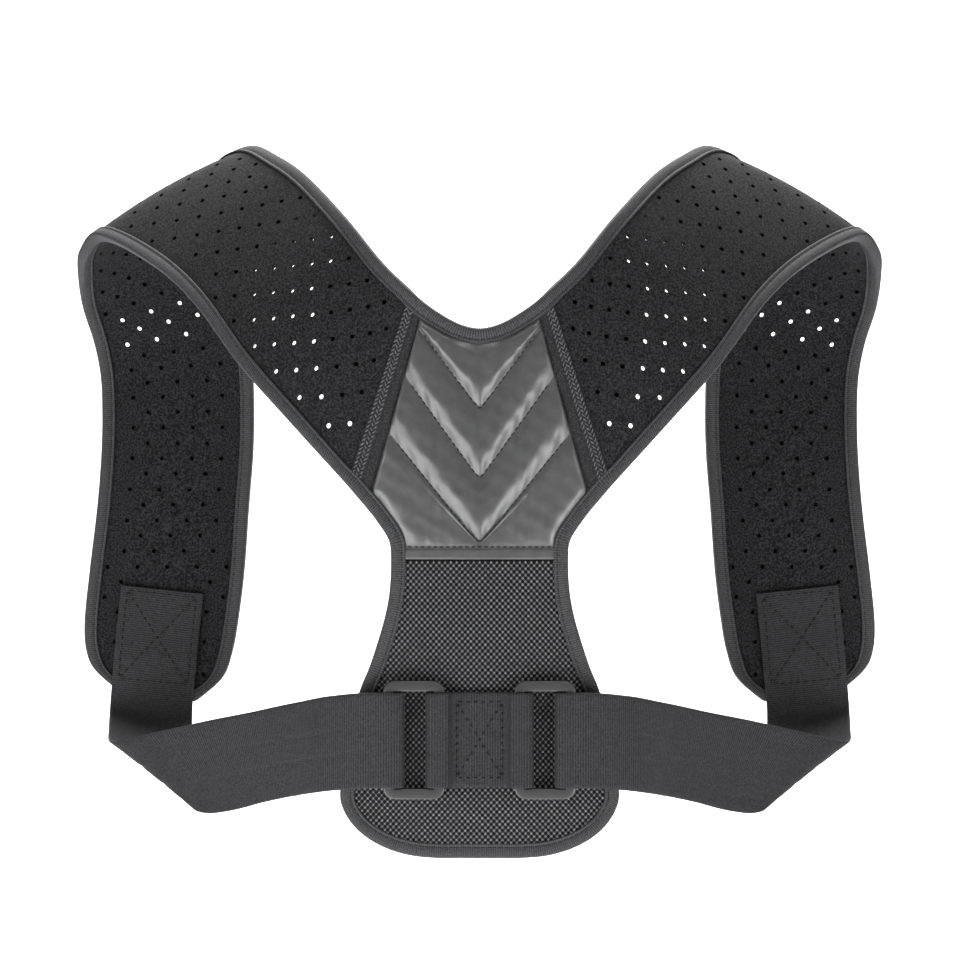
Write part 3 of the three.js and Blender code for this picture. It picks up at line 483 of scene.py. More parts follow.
def threads(name, parts, length, radius, material=THREAD):
    """One capsule of thread for each point of the parts, each part being points, ways and normals."""
    points, ways, ups = (np.concatenate([part[i] for part in parts]) for i in range(3))
    start = make_mesh(name + "_points", points, [])
    for title, values in (("along", ways), ("up", ups)):
        attribute = start.data.attributes.new(title, "FLOAT_VECTOR", "POINT")
        attribute.data.foreach_set("vector", values.ravel())
    values = {"Thread Radius": radius / 1000, "Stitch Length": length / 1000, "Finish": material}
    made = applied(start, STITCHES, values, name)
    made.data.materials.clear()
    made.data.materials.append(material)
    return made


def stitches(name, rows, pitch=2.6, length=2.1, radius=0.24):
    """Thread along rows of surface points with their normals, in millimetres."""
    return threads(name, [along_line(line, normals, pitch) for line, normals in rows], length, radius)


def finish(obj, material, slot, *nodes_replaced):
    if not obj.data.materials:
        obj.data.materials.append(material)
    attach(obj, "root")
    if nodes_replaced:
        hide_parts(*nodes_replaced)
    count = sum(len(p.vertices) - 2 for p in obj.data.polygons)
    print(f"{obj.name}: {count} triangles")
    return obj


# %% [markdown]
# ## The strap's surface
# Both edges are smooth curves through the stations. A point is given by u, which counts stations
# from the back seam, and t, from 0 at the arm side to 1 at the neck side.

# %% Strap surface
CURVE = BACK_WRAP / (LUMBAR_WIDTH / 2) ** 2


def back_normal(x):
    x = np.asarray(x, float)
    return unit(np.stack([2 * CURVE * x, -np.ones_like(x), np.zeros_like(x)], axis=-1))


def back_point(x, z, lift=0.0):
    x, z, lift = np.broadcast_arrays(np.asarray(x, float), np.asarray(z, float), np.asarray(lift, float))
    return np.stack([x, CURVE * x * x, z], axis=-1) + back_normal(x) * lift[..., None]


def band_edges(x, y, z, width, lean, turn, full_width, depth=0.0):
    lean, turn = math.radians(lean), math.radians(turn)
    across = np.array([-math.cos(lean) * math.cos(turn), math.sin(turn), math.sin(lean) * math.cos(turn)])
    height = z * (SHOULDER_RISE if z > 0 else FRONT_DROP)
    middle = np.array([x * HALF_SPAN, y * CHEST_DEPTH + depth, height])
    half = width * full_width / 2
    return middle - across * half, middle + across * half


strap_pairs = [(back_point(SEAM_FOOT_HALF, SEAM_FOOT_HEIGHT), back_point(SEAM_TOP_HALF, SEAM_TOP_HEIGHT))]
strap_pairs += [band_edges(*row[:6], STRAP_WIDTH) for row in STRAP]
STRAP_OUTER = np.array([pair[0] for pair in strap_pairs])
STRAP_INNER = np.array([pair[1] for pair in strap_pairs])
STRAP_CROWNS = np.array([0] + [row[6] for row in STRAP])
SPANS = len(strap_pairs) - 1
STEP = 0.02


def strap_point(u, t):
    u, t = np.broadcast_arrays(np.asarray(u, float), np.asarray(t, float))
    at = u / SPANS
    outer, inner = catmull(STRAP_OUTER, at), catmull(STRAP_INNER, at)
    across = inner - outer
    ahead, behind = np.minimum(at + 1e-4, 1), np.maximum(at - 1e-4, 0)
    along = sum(unit(catmull(e, ahead) - catmull(e, behind)) for e in (STRAP_OUTER, STRAP_INNER))
    bulge = unit(np.cross(along, across))
    crown = SHOULDER_CROWN * np.interp(u, np.arange(SPANS + 1), STRAP_CROWNS) * 4 * t * (1 - t)
    return outer + across * t[..., None] + bulge * crown[..., None]


def strap_normal(u, t):
    u, t = np.broadcast_arrays(np.asarray(u, float), np.asarray(t, float))
    along = strap_point(np.minimum(u + STEP, SPANS), t) - strap_point(np.maximum(u - STEP, 0), t)
    across = strap_point(u, np.minimum(t + STEP, 1)) - strap_point(u, np.maximum(t - STEP, 0))
    return unit(np.cross(along, across))


def edge_share(u, t, distance):
    along = unit(strap_point(np.minimum(u + STEP, SPANS), t) - strap_point(np.maximum(u - STEP, 0), t))
    across = strap_point(u, 1) - strap_point(u, 0)
    return distance / np.linalg.norm(np.cross(along, across), axis=-1)


END_SPAN = np.linalg.norm(strap_point(SPANS, 0.5) - strap_point(SPANS - 1, 0.5))

# %% [markdown]
# ## Shoulder pads
# Foam rubber faced with jersey on both sides, punched with round vents in a square lattice that
# runs slantwise to the strap. The lattice is the CAD source's, carried on to the belt's sewn end.
# On the front stretch, over the shoulder and beside the back seam, no light comes through the
# vents, so there they stop just short of the far face, which has a shallow pit.

# %% Vent places
BLIND_FROM, FACE_JERSEY, PIT_DEPTH = 9.3, 0.9, 0.5
LINED_WITHIN, LINED_ABOVE, LINED_SPAN, VENT_LEAN = 70, 64, (6.7, 8.4), 0.7
RIDGE_SPAN, NECK_SIDE, ARM_SIDE = (2.65, 6), 75, 112


def vent_places():
    row_step, column_step = VENT_PITCH / math.sqrt(2), VENT_PITCH * math.sqrt(2)
    fine = np.arange(0, SPANS, STEP)
    middle = strap_point(fine, 0.5)
    gaps = np.linalg.norm(np.diff(middle, axis=0), axis=1)
    found, travelled, row, i = [], 0.0, 0, 0
    patch_top = BELT[0][2] * FRONT_DROP
    while i < len(gaps) - 20:
        u = fine[i]
        width = float(np.linalg.norm(strap_point(u, 1) - strap_point(u, 0)))
        clear = width / 2 - BINDING_WIDTH - VENT_MARGIN
        shift = 0.5 if row % 2 else 0.0
        for k in range(-6, 7):
            offset = (k + shift) * column_step
            low = middle[i][2] < patch_top + 4 and middle[i][1] > CHEST_DEPTH * 0.9
            covered = low and abs(offset) < WEBBING_WIDTH / 2 + 1.5
            if travelled > row_step and abs(offset) < clear and not covered:
                found.append((u, 0.5 + offset / width))
        start = travelled
        while travelled - start < row_step and i < len(gaps) - 20:
            travelled += gaps[i]
            i += 1
        row += 1
    return np.array(found)


VENTS = vent_places()
print("vents a side:", len(VENTS))


def vent_tree():
    tree, start, end = new_tree(
        "vents", ("Places", "NodeSocketObject"), ("Radius", "NodeSocketFloat"), ("Depth", "NodeSocketFloat")
    )
    places = node(tree, "GeometryNodeObjectInfo", None, {"Object": start.outputs["Places"]})
    drill = node(tree, "GeometryNodeMeshCylinder", {"fill_type": "NGON"}, {
        "Vertices": 14, "Radius": start.outputs["Radius"], "Depth": start.outputs["Depth"],
    })
    up = node(tree, "GeometryNodeInputNamedAttribute", {"data_type": "FLOAT_VECTOR"}, {"Name": "up"})
    turn = node(tree, "FunctionNodeAlignRotationToVector", {"axis": "Z"}, {"Vector": up.outputs[0]})
    holes = node(tree, "GeometryNodeInstanceOnPoints", None, {
        "Points": places.outputs["Geometry"], "Instance": drill.outputs[0], "Rotation": turn.outputs[0],
    })
    real = node(tree, "GeometryNodeRealizeInstances", None, {0: holes.outputs[0]})
    cut = node(tree, "GeometryNodeMeshBoolean", {"operation": "DIFFERENCE", "solver": "MANIFOLD"})
    tree.links.new(start.outputs["Geometry"], cut.inputs[0])
    tree.links.new(real.outputs[0], cut.inputs[1])
    tree.links.new(cut.outputs[0], end.inputs[0])
    return tree


# %% Pads
PAD_STEP_MM, PAD_COLUMNS = 2.6, 30


def pad(name, mirror, vents):
    first = SEAM_GAP / np.linalg.norm(STRAP_INNER[1] - STRAP_INNER[0])
    last = SPANS - (EDGE_INSET + LAYER_GAP) / END_SPAN
    fine = np.linspace(first, last, 2000)
    u = np.interp(even_places(strap_point(fine, 0.5), PAD_STEP_MM), np.arange(2000), fine)
    near, far = edge_share(u, 0, EDGE_INSET), 1 - edge_share(u, 1, EDGE_INSET)
    share = np.linspace(0, 1, PAD_COLUMNS + 1)
    t = near[:, None] + (far - near)[:, None] * share
    uu = np.repeat(u[:, None], len(share), 1)
    point, normal = strap_point(uu, t), strap_normal(uu, t)
    uv = np.stack([np.repeat(lengths(point[:, 15])[:, None], len(share), 1), t * STRAP_WIDTH], -1)
    body = wall(name, point + normal * PAD / 2, point - normal * PAD / 2, uv, mirror)
    flip = np.array([-1, 1, 1]) if mirror else 1
    ways = strap_normal(*VENTS.T)
    ways = unit(ways * [1, 1 + VENT_LEAN, 1])
    spots = strap_point(*VENTS.T)
    lined = (spots[:, 0] < LINED_WITHIN) & (spots[:, 2] > LINED_ABOVE) & (spots[:, 1] < CHEST_DEPTH / 4)
    under_shoulder = (VENTS[:, 0] > LINED_SPAN[0]) & (VENTS[:, 0] < LINED_SPAN[1])
    ridge = (VENTS[:, 0] > RIDGE_SPAN[0]) & (spots[:, 0] > NECK_SIDE) | (spots[:, 0] > ARM_SIDE)
    outer = lined | ridge & (VENTS[:, 0] < RIDGE_SPAN[1])
    blind = outer | under_shoulder | (VENTS[:, 0] > BLIND_FROM)
    deep = np.where(outer, 1, -1)[:, None] * ways
    depth = np.where(blind[:, None], deep * (PAD / 2 + FACE_JERSEY), 0)
    pits = (spots - deep * (1.5 * PAD - PIT_DEPTH))[blind]
    ways = np.concatenate([ways, ways[blind]])
    places = make_mesh(name + "_vents", np.concatenate([spots + depth, pits]) * flip, [])
    up = places.data.attributes.new("up", "FLOAT_VECTOR", "POINT")
    up.data.foreach_set("vector", (ways * flip).ravel())
    values = {"Places": places, "Radius": VENT_DIAMETER / 2000, "Depth": 2 * PAD / 1000}
    made = applied(body, vents, values, name)
    bpy.data.objects.remove(places)
    made.data.materials.clear()
    made.data.shade_smooth()
    made.data.set_sharp_from_angle(angle=math.radians(40))
    return made


vents = vent_tree()
pads = []
for side, mirror in (("right", False), ("left", True)):
    pads.append(pad(f"pad_{side}", mirror, vents))
    finish(pads[-1], NEOPRENE, "vented_neoprene", f"shoulder_pad_{side}")

# %% [markdown]
# ## Outlines of the back panel
# Lines of x and height. A line moved sideways gives the edge that the binding leaves free.

# %% Outlines
WAIST_HALF, LUMBAR_HALF = WAIST_WIDTH / 2, LUMBAR_WIDTH / 2
SEAM_LAP = 0.5
BOTTOM = -WIDEST_DROP - CORNER_RISE


def shifted(line, distance):
    line = np.asarray(line, float)
    step = np.vstack([line[1] - line[0], line[2:] - line[:-2], line[-1] - line[-2]])
    return line + unit(np.stack([-step[:, 1], step[:, 0]], -1)) * distance


neck_line = np.array([(o * SEAM_TOP_HALF, mix(NECK_HEIGHT, SEAM_TOP_HEIGHT, up)) for o, up in NECK])
arm_line = np.array([(mix(WAIST_HALF, SEAM_FOOT_HALF, o), up * SEAM_FOOT_HEIGHT) for o, up in ARM])
side_line = np.array([(mix(WAIST_HALF, LUMBAR_HALF, f), -d * WIDEST_DROP) for d, f in LUMBAR])
turn = np.radians(np.arange(15, 91, 15))
corner_line = np.stack(
    [LUMBAR_HALF - CORNER_REACH * (1 - np.cos(turn)), -WIDEST_DROP - CORNER_RISE * np.sin(turn)], -1
)
lower_line = np.vstack([side_line, corner_line])


def x_at(line, z):
    order = np.argsort(line[:, 1])
    return np.interp(z, line[order, 1], line[order, 0])


def height_at(line, x):
    return np.interp(x, line[:, 0], line[:, 1])


SLANT = (SEAM_TOP_HEIGHT - SEAM_FOOT_HEIGHT) / math.hypot(
    SEAM_TOP_HALF - SEAM_FOOT_HALF, SEAM_TOP_HEIGHT - SEAM_FOOT_HEIGHT
)


def beside_seam(z, foot, top):
    share = (z - SEAM_FOOT_HEIGHT) / (SEAM_TOP_HEIGHT - SEAM_FOOT_HEIGHT)
    return mix(SEAM_FOOT_HALF, SEAM_TOP_HALF, share) - mix(foot, top, share) / SLANT


def quilt_side(z):
    return beside_seam(z, STRIP_FOOT_WIDTH - SEAM_LAP, STRIP_TOP_WIDTH - SEAM_LAP)


def meeting(x_of, line):
    fine = catmull(line, np.linspace(0, 1, 400))
    return fine[np.argmin(np.abs(fine[:, 0] - x_of(fine[:, 1]))), 1]


neck_inset, arm_inset = shifted(neck_line, -EDGE_INSET), shifted(arm_line, EDGE_INSET)
lower_inset = shifted(lower_line, -EDGE_INSET)


def quilt_half(z):
    side = quilt_side(z)
    return min(side, float(x_at(arm_inset, max(z, 0)))) if z < SEAM_FOOT_HEIGHT else side


# %% [markdown]
# ## Quilted panel
# Smooth coated cloth over thin wadding, sewn down along three V lines. The wadding stands highest
# just above each line, and small puckers run into the stitching.

# %% Quilted panel
COLUMNS = np.linspace(-1, 1, 141)


def neck_row(line):
    half = quilt_half(meeting(quilt_side, line))
    x = COLUMNS * half
    return x, height_at(line, np.abs(x))


def line_row(apex, side):
    low, high = apex * NECK_HEIGHT, side * NECK_HEIGHT
    half = quilt_half(high)
    out = np.sqrt(COLUMNS**2 + 0.03**2) - 0.03
    return COLUMNS * half, mix(low, high, out)


def hem_row(z):
    half = quilt_half(z)
    return COLUMNS * half, np.full_like(COLUMNS, z)


neck_leg = shifted(neck_line, -BINDING_WIDTH)
quilt_rows = [(*neck_row(neck_inset), 0, 0), (*neck_row(neck_leg), 0.06, 0)]
quilt_rows += [(*line_row(a, s), lift, spread) for a, s, lift, spread in QUILT]
quilt_rows += [(*hem_row(z), 0, 0) for z in (HEM_TOP, HEM_TOP - 0.5, -HEM_DROP + 0.4, -HEM_DROP)]
row_x = np.array([r[0] for r in quilt_rows])
row_z = np.array([r[1] for r in quilt_rows])
row_lift = np.array([r[2] for r in quilt_rows])
row_spread = np.array([r[3] for r in quilt_rows])
stitched_rows = [i for i, r in enumerate(quilt_rows) if 2 <= i < 17 and r[2] == 0]

places = []
for i in range(len(quilt_rows) - 1):
    gap = abs(row_z[i + 1, 0] - row_z[i, 0]) + abs(row_z[i + 1, 70] - row_z[i, 70])
    places += list(i + np.arange(int(np.clip(gap / 1.6, 3, 14))) / int(np.clip(gap / 1.6, 3, 14)))
places = np.array(places + [len(quilt_rows) - 1.0])
x, z = at_places(row_x, places), at_places(row_z, places)
lift, spread = at_places(row_lift[:, None], places)[:, 0], at_places(row_spread[:, None], places)[:, 0]
out = np.abs(COLUMNS)
# Rounded between the table's rows, but sharp at each stitch line
lift = np.sin(np.clip(lift, 0, 1) * math.pi / 2)
arm_fine = catmull(arm_line, np.linspace(0, 1, 160))
to_arm = np.hypot(np.abs(x)[..., None] - arm_fine[:, 0], z[..., None] - arm_fine[:, 1]).min(-1) - BINDING_WIDTH
to_seam = (quilt_side(z) - np.abs(x)) * SLANT
free = np.minimum(to_seam, np.where(z < 0, np.inf, to_arm))
free = np.minimum(free, np.where(z < 2, np.abs(x).max(1)[:, None] - np.abs(x) - BINDING_WIDTH + EDGE_INSET, np.inf))
margin = np.clip(free / np.where(spread > 0.5, 5.5, 3.5)[:, None], 0, 1)
swell = lift[:, None] * np.where(spread[:, None] > 0.5, out, 1) * np.sqrt(margin * (2 - margin)) * PUFF
nearest = np.min([np.abs(z - row_z[i]) for i in stitched_rows], axis=0)
pucker = 0.22 * np.sin(x * 2 * math.pi / 6.3 + 1.3 * np.sin(x * 0.31)) * np.exp(-nearest / 5) * np.minimum(nearest, 1)
crease = 0.16 * np.sin(x * 0.55 + z * 0.23) * np.sin(x * 0.17 - z * 0.41)
swell = swell + (pucker + crease) * np.clip(swell, 0, 1)
hem = (z < HEM_TOP - 0.2) & (places[:, None] > len(quilt_rows) - 4.01)
in_hem = np.clip((places - (len(quilt_rows) - 4)) * 1.0, 0, 1)
fade = np.clip((len(quilt_rows) - 1 - places) * 1.2, 0.35, 1)
swell = swell + (HEM_RAISE * in_hem * fade)[:, None] * np.clip((1 - out) * 45 / 7, 0, 1)
outside, inside = back_point(x, z, PAD / 2 + swell), back_point(x, z, -PAD / 2)
quilt = wall("quilted_back", outside, inside, np.stack([x, z], -1))
finish(quilt, COATED, "coated_fabric", "quilted_panel")

rows = []
for i in stitched_rows:
    k = int(np.argmin(np.abs(places - i)))
    inner = slice(6, -6)
    rows.append((outside[k, inner] + back_normal(x[k, inner]) * 0.16, back_normal(x[k, inner])))
quilt_thread = finish(stitches("quilt_stitches", rows, 3.0, 2.3, 0.32), THREAD, "coated_fabric")

# %% [markdown]
# ## Mesh panel
# A dark padded core under an open knitted net with diamond cells. The net is a mesh of edges laid on
# the core's face, and a node tree gives each edge its thread and each crossing its knot. The knots are coloured much
# lighter than the threads of the same yarn, as a painted highlight on the raised crossings.

# %% Mesh panel core
MESH_TOP = -HEM_DROP - SEAM_GAP
MESH_FOOT = BOTTOM + BINDING_WIDTH
MESH_SLOPE = 22


def mesh_swell(x, z, half):
    level = np.clip(np.minimum(MESH_TOP - z, z - MESH_FOOT) / MESH_SLOPE, 0, 1)
    free = np.clip(half - 6.5, 4, None)
    return MESH_CROWN * np.sqrt(level) * np.clip(1 - (x / free) ** 2, 0, 1)


side = catmull(lower_inset, np.linspace(0, 1, 1600))
side = side[side[:, 1] <= MESH_TOP]
side = at_places(side, even_places(side, 1.6))
side[0, 1] = MESH_TOP + SEAM_GAP + SEAM_LAP
share = np.linspace(-1, 1, 71)
x, z = side[:, :1] * share, np.repeat(side[:, 1:], len(share), 1)
rise = mesh_swell(x, z, side[:, :1])
core = wall("mesh_core", back_point(x, z, PAD / 2 + rise - 0.25), back_point(x, z, 0.08 - PAD / 2), np.stack([x, z], -1))
finish(core, MESH_BASE, "air_mesh", "mesh_panel")

# %% Net
NET_ACROSS, NET_UP, NET_THREAD, NET_KNOT = 2.66, 2.93, 0.3, 0.6


def net_tree():
    tree, start, end = new_tree(
        "net", ("Thread Radius", "NodeSocketFloat"), ("Knot Radius", "NodeSocketFloat"),
        ("Thread Finish", "NodeSocketMaterial"), ("Knot Highlight Finish", "NodeSocketMaterial"),
    )
    line = node(tree, "GeometryNodeMeshToCurve", None, {0: start.outputs["Geometry"]})
    ring = node(tree, "GeometryNodeCurvePrimitiveCircle", None, {"Resolution": 4, "Radius": start.outputs["Thread Radius"]})
    thread = node(tree, "GeometryNodeCurveToMesh", None, {
        "Curve": line.outputs[0], "Profile Curve": ring.outputs[0], "Fill Caps": True,
    })
    ball = node(tree, "GeometryNodeMeshIcoSphere", None, {"Radius": start.outputs["Knot Radius"], "Subdivisions": 1})
    knots = node(tree, "GeometryNodeInstanceOnPoints", None, {
        "Points": start.outputs["Geometry"], "Instance": ball.outputs[0],
    })
    joined = node(tree, "GeometryNodeJoinGeometry")
    for shape, socket in ((knots, "Knot Highlight Finish"), (thread, "Thread Finish")):
        real = node(tree, "GeometryNodeRealizeInstances", None, {0: shape.outputs[0]})
        painted = node(tree, "GeometryNodeSetMaterial", None, {
            "Geometry": real.outputs[0], "Material": start.outputs[socket],
        })
        tree.links.new(painted.outputs[0], joined.inputs[0])
    smooth = node(tree, "GeometryNodeSetShadeSmooth", None, {0: joined.outputs[0]})
    tree.links.new(smooth.outputs[0], end.inputs[0])
    return tree


spots, edges = {}, []
for j in range(0, 100):
    for i in range(-60, 61):
        if (i + j) % 2:
            continue
        px, pz = i * NET_ACROSS / 2, MESH_TOP - 1 - j * NET_UP / 2
        if pz < BOTTOM + 5 or abs(px) > float(x_at(side, pz)) - 4:
            continue
        spots[(i, j)] = (px, pz)
index = {key: k for k, key in enumerate(spots)}
for i, j in spots:
    for di in (-1, 1):
        if (i + di, j + 1) in index:
            edges.append((index[(i, j)], index[(i + di, j + 1)]))
flat = np.array(list(spots.values()))
half = x_at(side, flat[:, 1])
lifted = back_point(flat[:, 0], flat[:, 1], PAD / 2 + mesh_swell(flat[:, 0], flat[:, 1], half) + 0.05)
start = make_mesh("net_lines", lifted, [])
start.data.clear_geometry()
start.data.from_pydata(((lifted + FRAME_SHIFT) / 1000).tolist(), edges, [])
net = applied(start, net_tree(), {
    "Thread Radius": NET_THREAD / 1000, "Knot Radius": NET_KNOT / 1000,
    "Thread Finish": MESH_NET, "Knot Highlight Finish": KNOT_HIGHLIGHT_FINISH,
}, "mesh_net")
print("net finishes:", [m.name if m else None for m in net.data.materials])
finish(net, MESH_NET, "air_mesh")

# %% [markdown]
# ## Seam strips
# A knitted strip covers each seam between the quilted panel and a strap. Its outer half is
# braided: short slanted yarns in three columns. A row of stitches holds each edge.

# %% Seam strips
BRAID_COLUMNS, BRAID_PITCH, BRAID_SLANT = (0.1, 0.25, 0.4), 2.2, 35


def seam_strip(name, mirror):
    outer = lambda z: beside_seam(z, -SEAM_LAP, -SEAM_LAP)
    inner = lambda z: beside_seam(z, STRIP_FOOT_WIDTH, STRIP_TOP_WIDTH)
    feet = [meeting(f, arm_inset) for f in (outer, inner)]
    tops = [meeting(f, neck_inset) for f in (outer, inner)]
    up, across = np.linspace(0, 1, 90)[:, None], np.linspace(0, 1, 13)[None]
    z0, z1 = mix(feet[0], tops[0], up), mix(feet[1], tops[1], up)
    z = mix(z0, z1, across)
    x = mix(outer(z0), inner(z1), across)
    rise = 0.25 + 0.35 * np.sqrt(np.clip(np.sin(across * math.pi), 0, 1)) * np.ones_like(z)
    made = wall(name, back_point(x, z, PAD / 2 + rise), back_point(x, z, -PAD / 2 - 0.1), np.stack([x, z], -1), mirror)
    flip = np.array([-1, 1, 1]) if mirror else 1

    def row(share, lift):
        px = mix(outer(z0), inner(z1), share)[4:-4, 0]
        pz = mix(z0, z1, share)[4:-4, 0]
        return back_point(px, pz, PAD / 2 + lift) * flip, back_normal(px) * flip

    yarns = []
    for count, share in enumerate(BRAID_COLUMNS):
        here, way, up = along_line(*row(share, 0.62), BRAID_PITCH)
        slant = math.radians(BRAID_SLANT if count % 2 else -BRAID_SLANT)
        yarns.append((here, way * math.cos(slant) + np.cross(up, way) * math.sin(slant), up))
    return made, [row(share, 0.55) for share in (0.55, 0.9)], yarns


strip_rows, strip_yarns = [], []
for side_name, mirror in (("right", False), ("left", True)):
    strip, rows, yarns = seam_strip(f"seam_cloth_{side_name}", mirror)
    finish(strip, STRIP, "strip_cloth", f"seam_strip_{side_name}")
    strip_rows += rows
    strip_yarns += yarns
finish(stitches("strip_stitches", strip_rows), THREAD, "strip_cloth")
finish(threads("strip_braid", strip_yarns, 2.5, 0.36, STRIP_YARN), STRIP_YARN, "strip_cloth")

# %% [markdown]
# ## Binding
# Ribbed tape folded over the edge, one closed loop. The ribs are in its mesh, a peak and a valley
# for each, and one row of stitches runs near its inner edge on both faces.

# %% Binding path


def flat_rim(line, way):
    fine = catmull(line, np.linspace(0, 1, 40 * len(line)))
    fine = at_places(fine, even_places(fine, 1.0))
    inner = fine + (shifted(fine, way) - fine) * BINDING_WIDTH
    return back_point(*fine.T), back_point(*inner.T), back_normal(fine[:, 0])


def strap_rim(u, t, sign):
    edge = edge_share(u, float(t), BINDING_WIDTH)
    return strap_point(u, float(t)), strap_point(u, t + sign * edge), strap_normal(u, float(t))


def binding_path():
    bottom_half = LUMBAR_HALF - CORNER_REACH
    bottom = np.array([(s * bottom_half, BOTTOM) for s in (0, 0.5, 1)])
    outline = np.vstack([bottom[:-1], lower_line[::-1]])
    fine_u = np.linspace(0, SPANS - BINDING_WIDTH / END_SPAN, 900)
    t = np.linspace(0, 1, 30)
    back_u = SPANS - BINDING_WIDTH / END_SPAN
    corner = float(edge_share(back_u, 0.0, BINDING_WIDTH))
    end = (
        strap_point(np.full_like(t, SPANS), t),
        strap_point(np.full_like(t, back_u), mix(corner, 1 - corner, t)),
        strap_normal(np.full_like(t, back_u), t),
    )
    last = np.linspace(SPANS - BINDING_WIDTH / END_SPAN, SPANS, 12)[1:-1]
    parts = [
        flat_rim(outline, 1),
        flat_rim(arm_line, 1),
        strap_rim(fine_u, 0.0, 1),
        (strap_point(last, 0.0), np.repeat(end[1][:1], len(last), 0), strap_normal(last, 0.0)),
        end,
        (strap_point(last, 1.0)[::-1], np.repeat(end[1][-1:], len(last), 0), strap_normal(last, 1.0)[::-1]),
        tuple(a[::-1] for a in strap_rim(fine_u, 1.0, -1)),
        flat_rim(neck_line[::-1], 1),
    ]
    rim, inner, normal = (np.concatenate([p[i] for p in parts]) for i in range(3))
    flip = np.array([-1, 1, 1])
    rim = np.concatenate([rim, (rim * flip)[::-1][1:-1]])
    inner = np.concatenate([inner, (inner * flip)[::-1][1:-1]])
    normal = np.concatenate([normal, (normal * flip)[::-1][1:-1]])
    keep = np.linalg.norm(np.roll(rim, -1, 0) - rim, axis=1) > 0.02
    rim, inner, normal = rim[keep], inner[keep], normal[keep]
    loop = np.concatenate([rim, rim[:1]])
    count = int(round(lengths(loop)[-1] / BINDING_STEP / 2)) * 2
    places = np.interp(np.linspace(0, lengths(loop)[-1], count + 1)[:-1], lengths(loop), np.arange(len(loop)))
    wrap = lambda v: at_places(np.concatenate([v, v[:1]]), places)
    return (smoothed(wrap(v), 4, closed=True) for v in (rim, inner, normal))


rim, inner, normal = binding_path()
normal = unit(normal)
inward = inner - rim
inward = unit(inward - normal * (inward * normal).sum(-1, keepdims=True))
print("binding length mm:", round(float(lengths(rim)[-1])))

# %% Binding
RIB = 0.12
top, leg = BINDING_HALF - 0.05, PAD / 2 + LAYER_GAP
profile = [
    (0.0, -top * 0.55, 1), (-0.0, top * 0.55, 1), (0.45, top * 0.93, 1), (1.3, top, 1),
    (4.9, top - 0.1, 1), (5.35, top - 0.55, 0), (5.85, top - 0.1, 0), (6.5, top - 0.02, 0), (BINDING_WIDTH, top - 0.35, 0),
    (BINDING_WIDTH, leg, 0), (TAPE, leg, 0), (TAPE, -leg, 0), (BINDING_WIDTH, -leg, 0), (BINDING_WIDTH, 0.35 - top, 0),
    (6.5, 0.02 - top, 0), (5.85, 0.1 - top, 0), (5.35, 0.55 - top, 0), (4.9, 0.1 - top, 1),
    (1.3, -top, 1), (0.45, -top * 0.93, 1),
]
ribs = np.where(np.arange(len(rim)) % 2, RIB, -RIB)[:, None]
columns = []
for distance, height, ribbed in profile:
    away = np.sign(height) * min(1.0, abs(height) / top)
    spread = normal * (height + ribbed * ribs * away) + inward * (distance + 0.06 - ribbed * ribs * (distance < 0.5))
    columns.append(rim + spread)
sections = np.stack(columns, axis=1)
across = np.cumsum([0] + [math.dist(a[:2], b[:2]) for a, b in zip(profile, profile[1:])])
along = np.arange(len(rim)) * BINDING_STEP
uv = np.stack(np.meshgrid(along, across, indexing="ij"), -1).reshape(-1, 2)
binding = tube("edge_tape", sections, uv, closed=True)
finish(binding, TAPE_FINISH, "binding_tape", "edge_binding")
rows = [
    (rim + inward * 5.35 + normal * side * (top - 0.4), normal * side)
    for side in (1, -1)
]
finish(stitches("binding_stitches", rows, 2.8, 2.2, 0.22), THREAD, "binding_tape")

# %% [markdown]
# ## Belts
# Woven tape with ribs across it. Each belt starts where it is sewn on the strap's front end, bends
# round the side, goes over the ring's outer bar and comes back behind itself.

# %% Belt surface
WRAP = RING_THICKNESS / 2 + LAYER_GAP + WEBBING / 2
OUTER_BAR = RING_CENTRE + RING_WIDTH / 2 - RING_BAR / 2
PITCH = WEBBING + LAYER_GAP
BEND_END, BEND_FADE = 190, 30


def upright(x, y, z):
    return np.array([x, y, z + WEBBING_WIDTH / 2]), np.array([x, y, z - WEBBING_WIDTH / 2])


def belt_rungs():
    side = [band_edges(*row[:6], WEBBING_WIDTH, row[6]) for row in BELT]
    over = [
        upright(mix(OUTER_BAR, LUMBAR_HALF, out), -stand * RING_STANDOFF, -drop * RING_DROP)
        for out, stand, drop, _ in OVER_PANEL
    ]
    at_bar = upright(OUTER_BAR, -RING_STANDOFF - WRAP, -RING_DROP)
    going = np.array(side + over + [at_bar])
    angles = np.linspace(0, math.pi, 24)
    turn = np.array([
        upright(OUTER_BAR - BELT_SLACK - WRAP * math.sin(a), -RING_STANDOFF - WRAP * math.cos(a), -RING_DROP)
        for a in angles
    ])
    behind = [
        upright(
            mix(OUTER_BAR, LUMBAR_HALF, out), -stand * RING_STANDOFF + layers * PITCH, -drop * RING_DROP
        )
        for out, stand, drop, layers in OVER_PANEL[::-1]
    ]
    inwards = np.array([-1, 1, 0]) / math.sqrt(2) * (PITCH + LAYER_GAP)
    free_end = (side[-1][0] + inwards, side[-1][1] + inwards)
    leaving = upright(OUTER_BAR, -RING_STANDOFF + WRAP, -RING_DROP)
    back = np.array([leaving] + behind + [free_end])
    fine = [np.stack([catmull(g[:, 0], w), catmull(g[:, 1], w)], 1) for g, w in (
        (going, np.linspace(0, 1, 600)), (back, np.linspace(0, 1, 200)))]
    rungs = np.concatenate([fine[0], turn[1:-1], fine[1]])
    rungs = at_places(rungs, even_places(rungs.mean(1), RIB_STEP))
    # The side bend is rounder than the turn at the ring
    beyond = np.clip((np.arange(len(rungs)) * RIB_STEP - BEND_END) / BEND_FADE, 0, 1)[:, None, None]
    return mix(smoothed(rungs, 9), smoothed(rungs, 2), beyond)


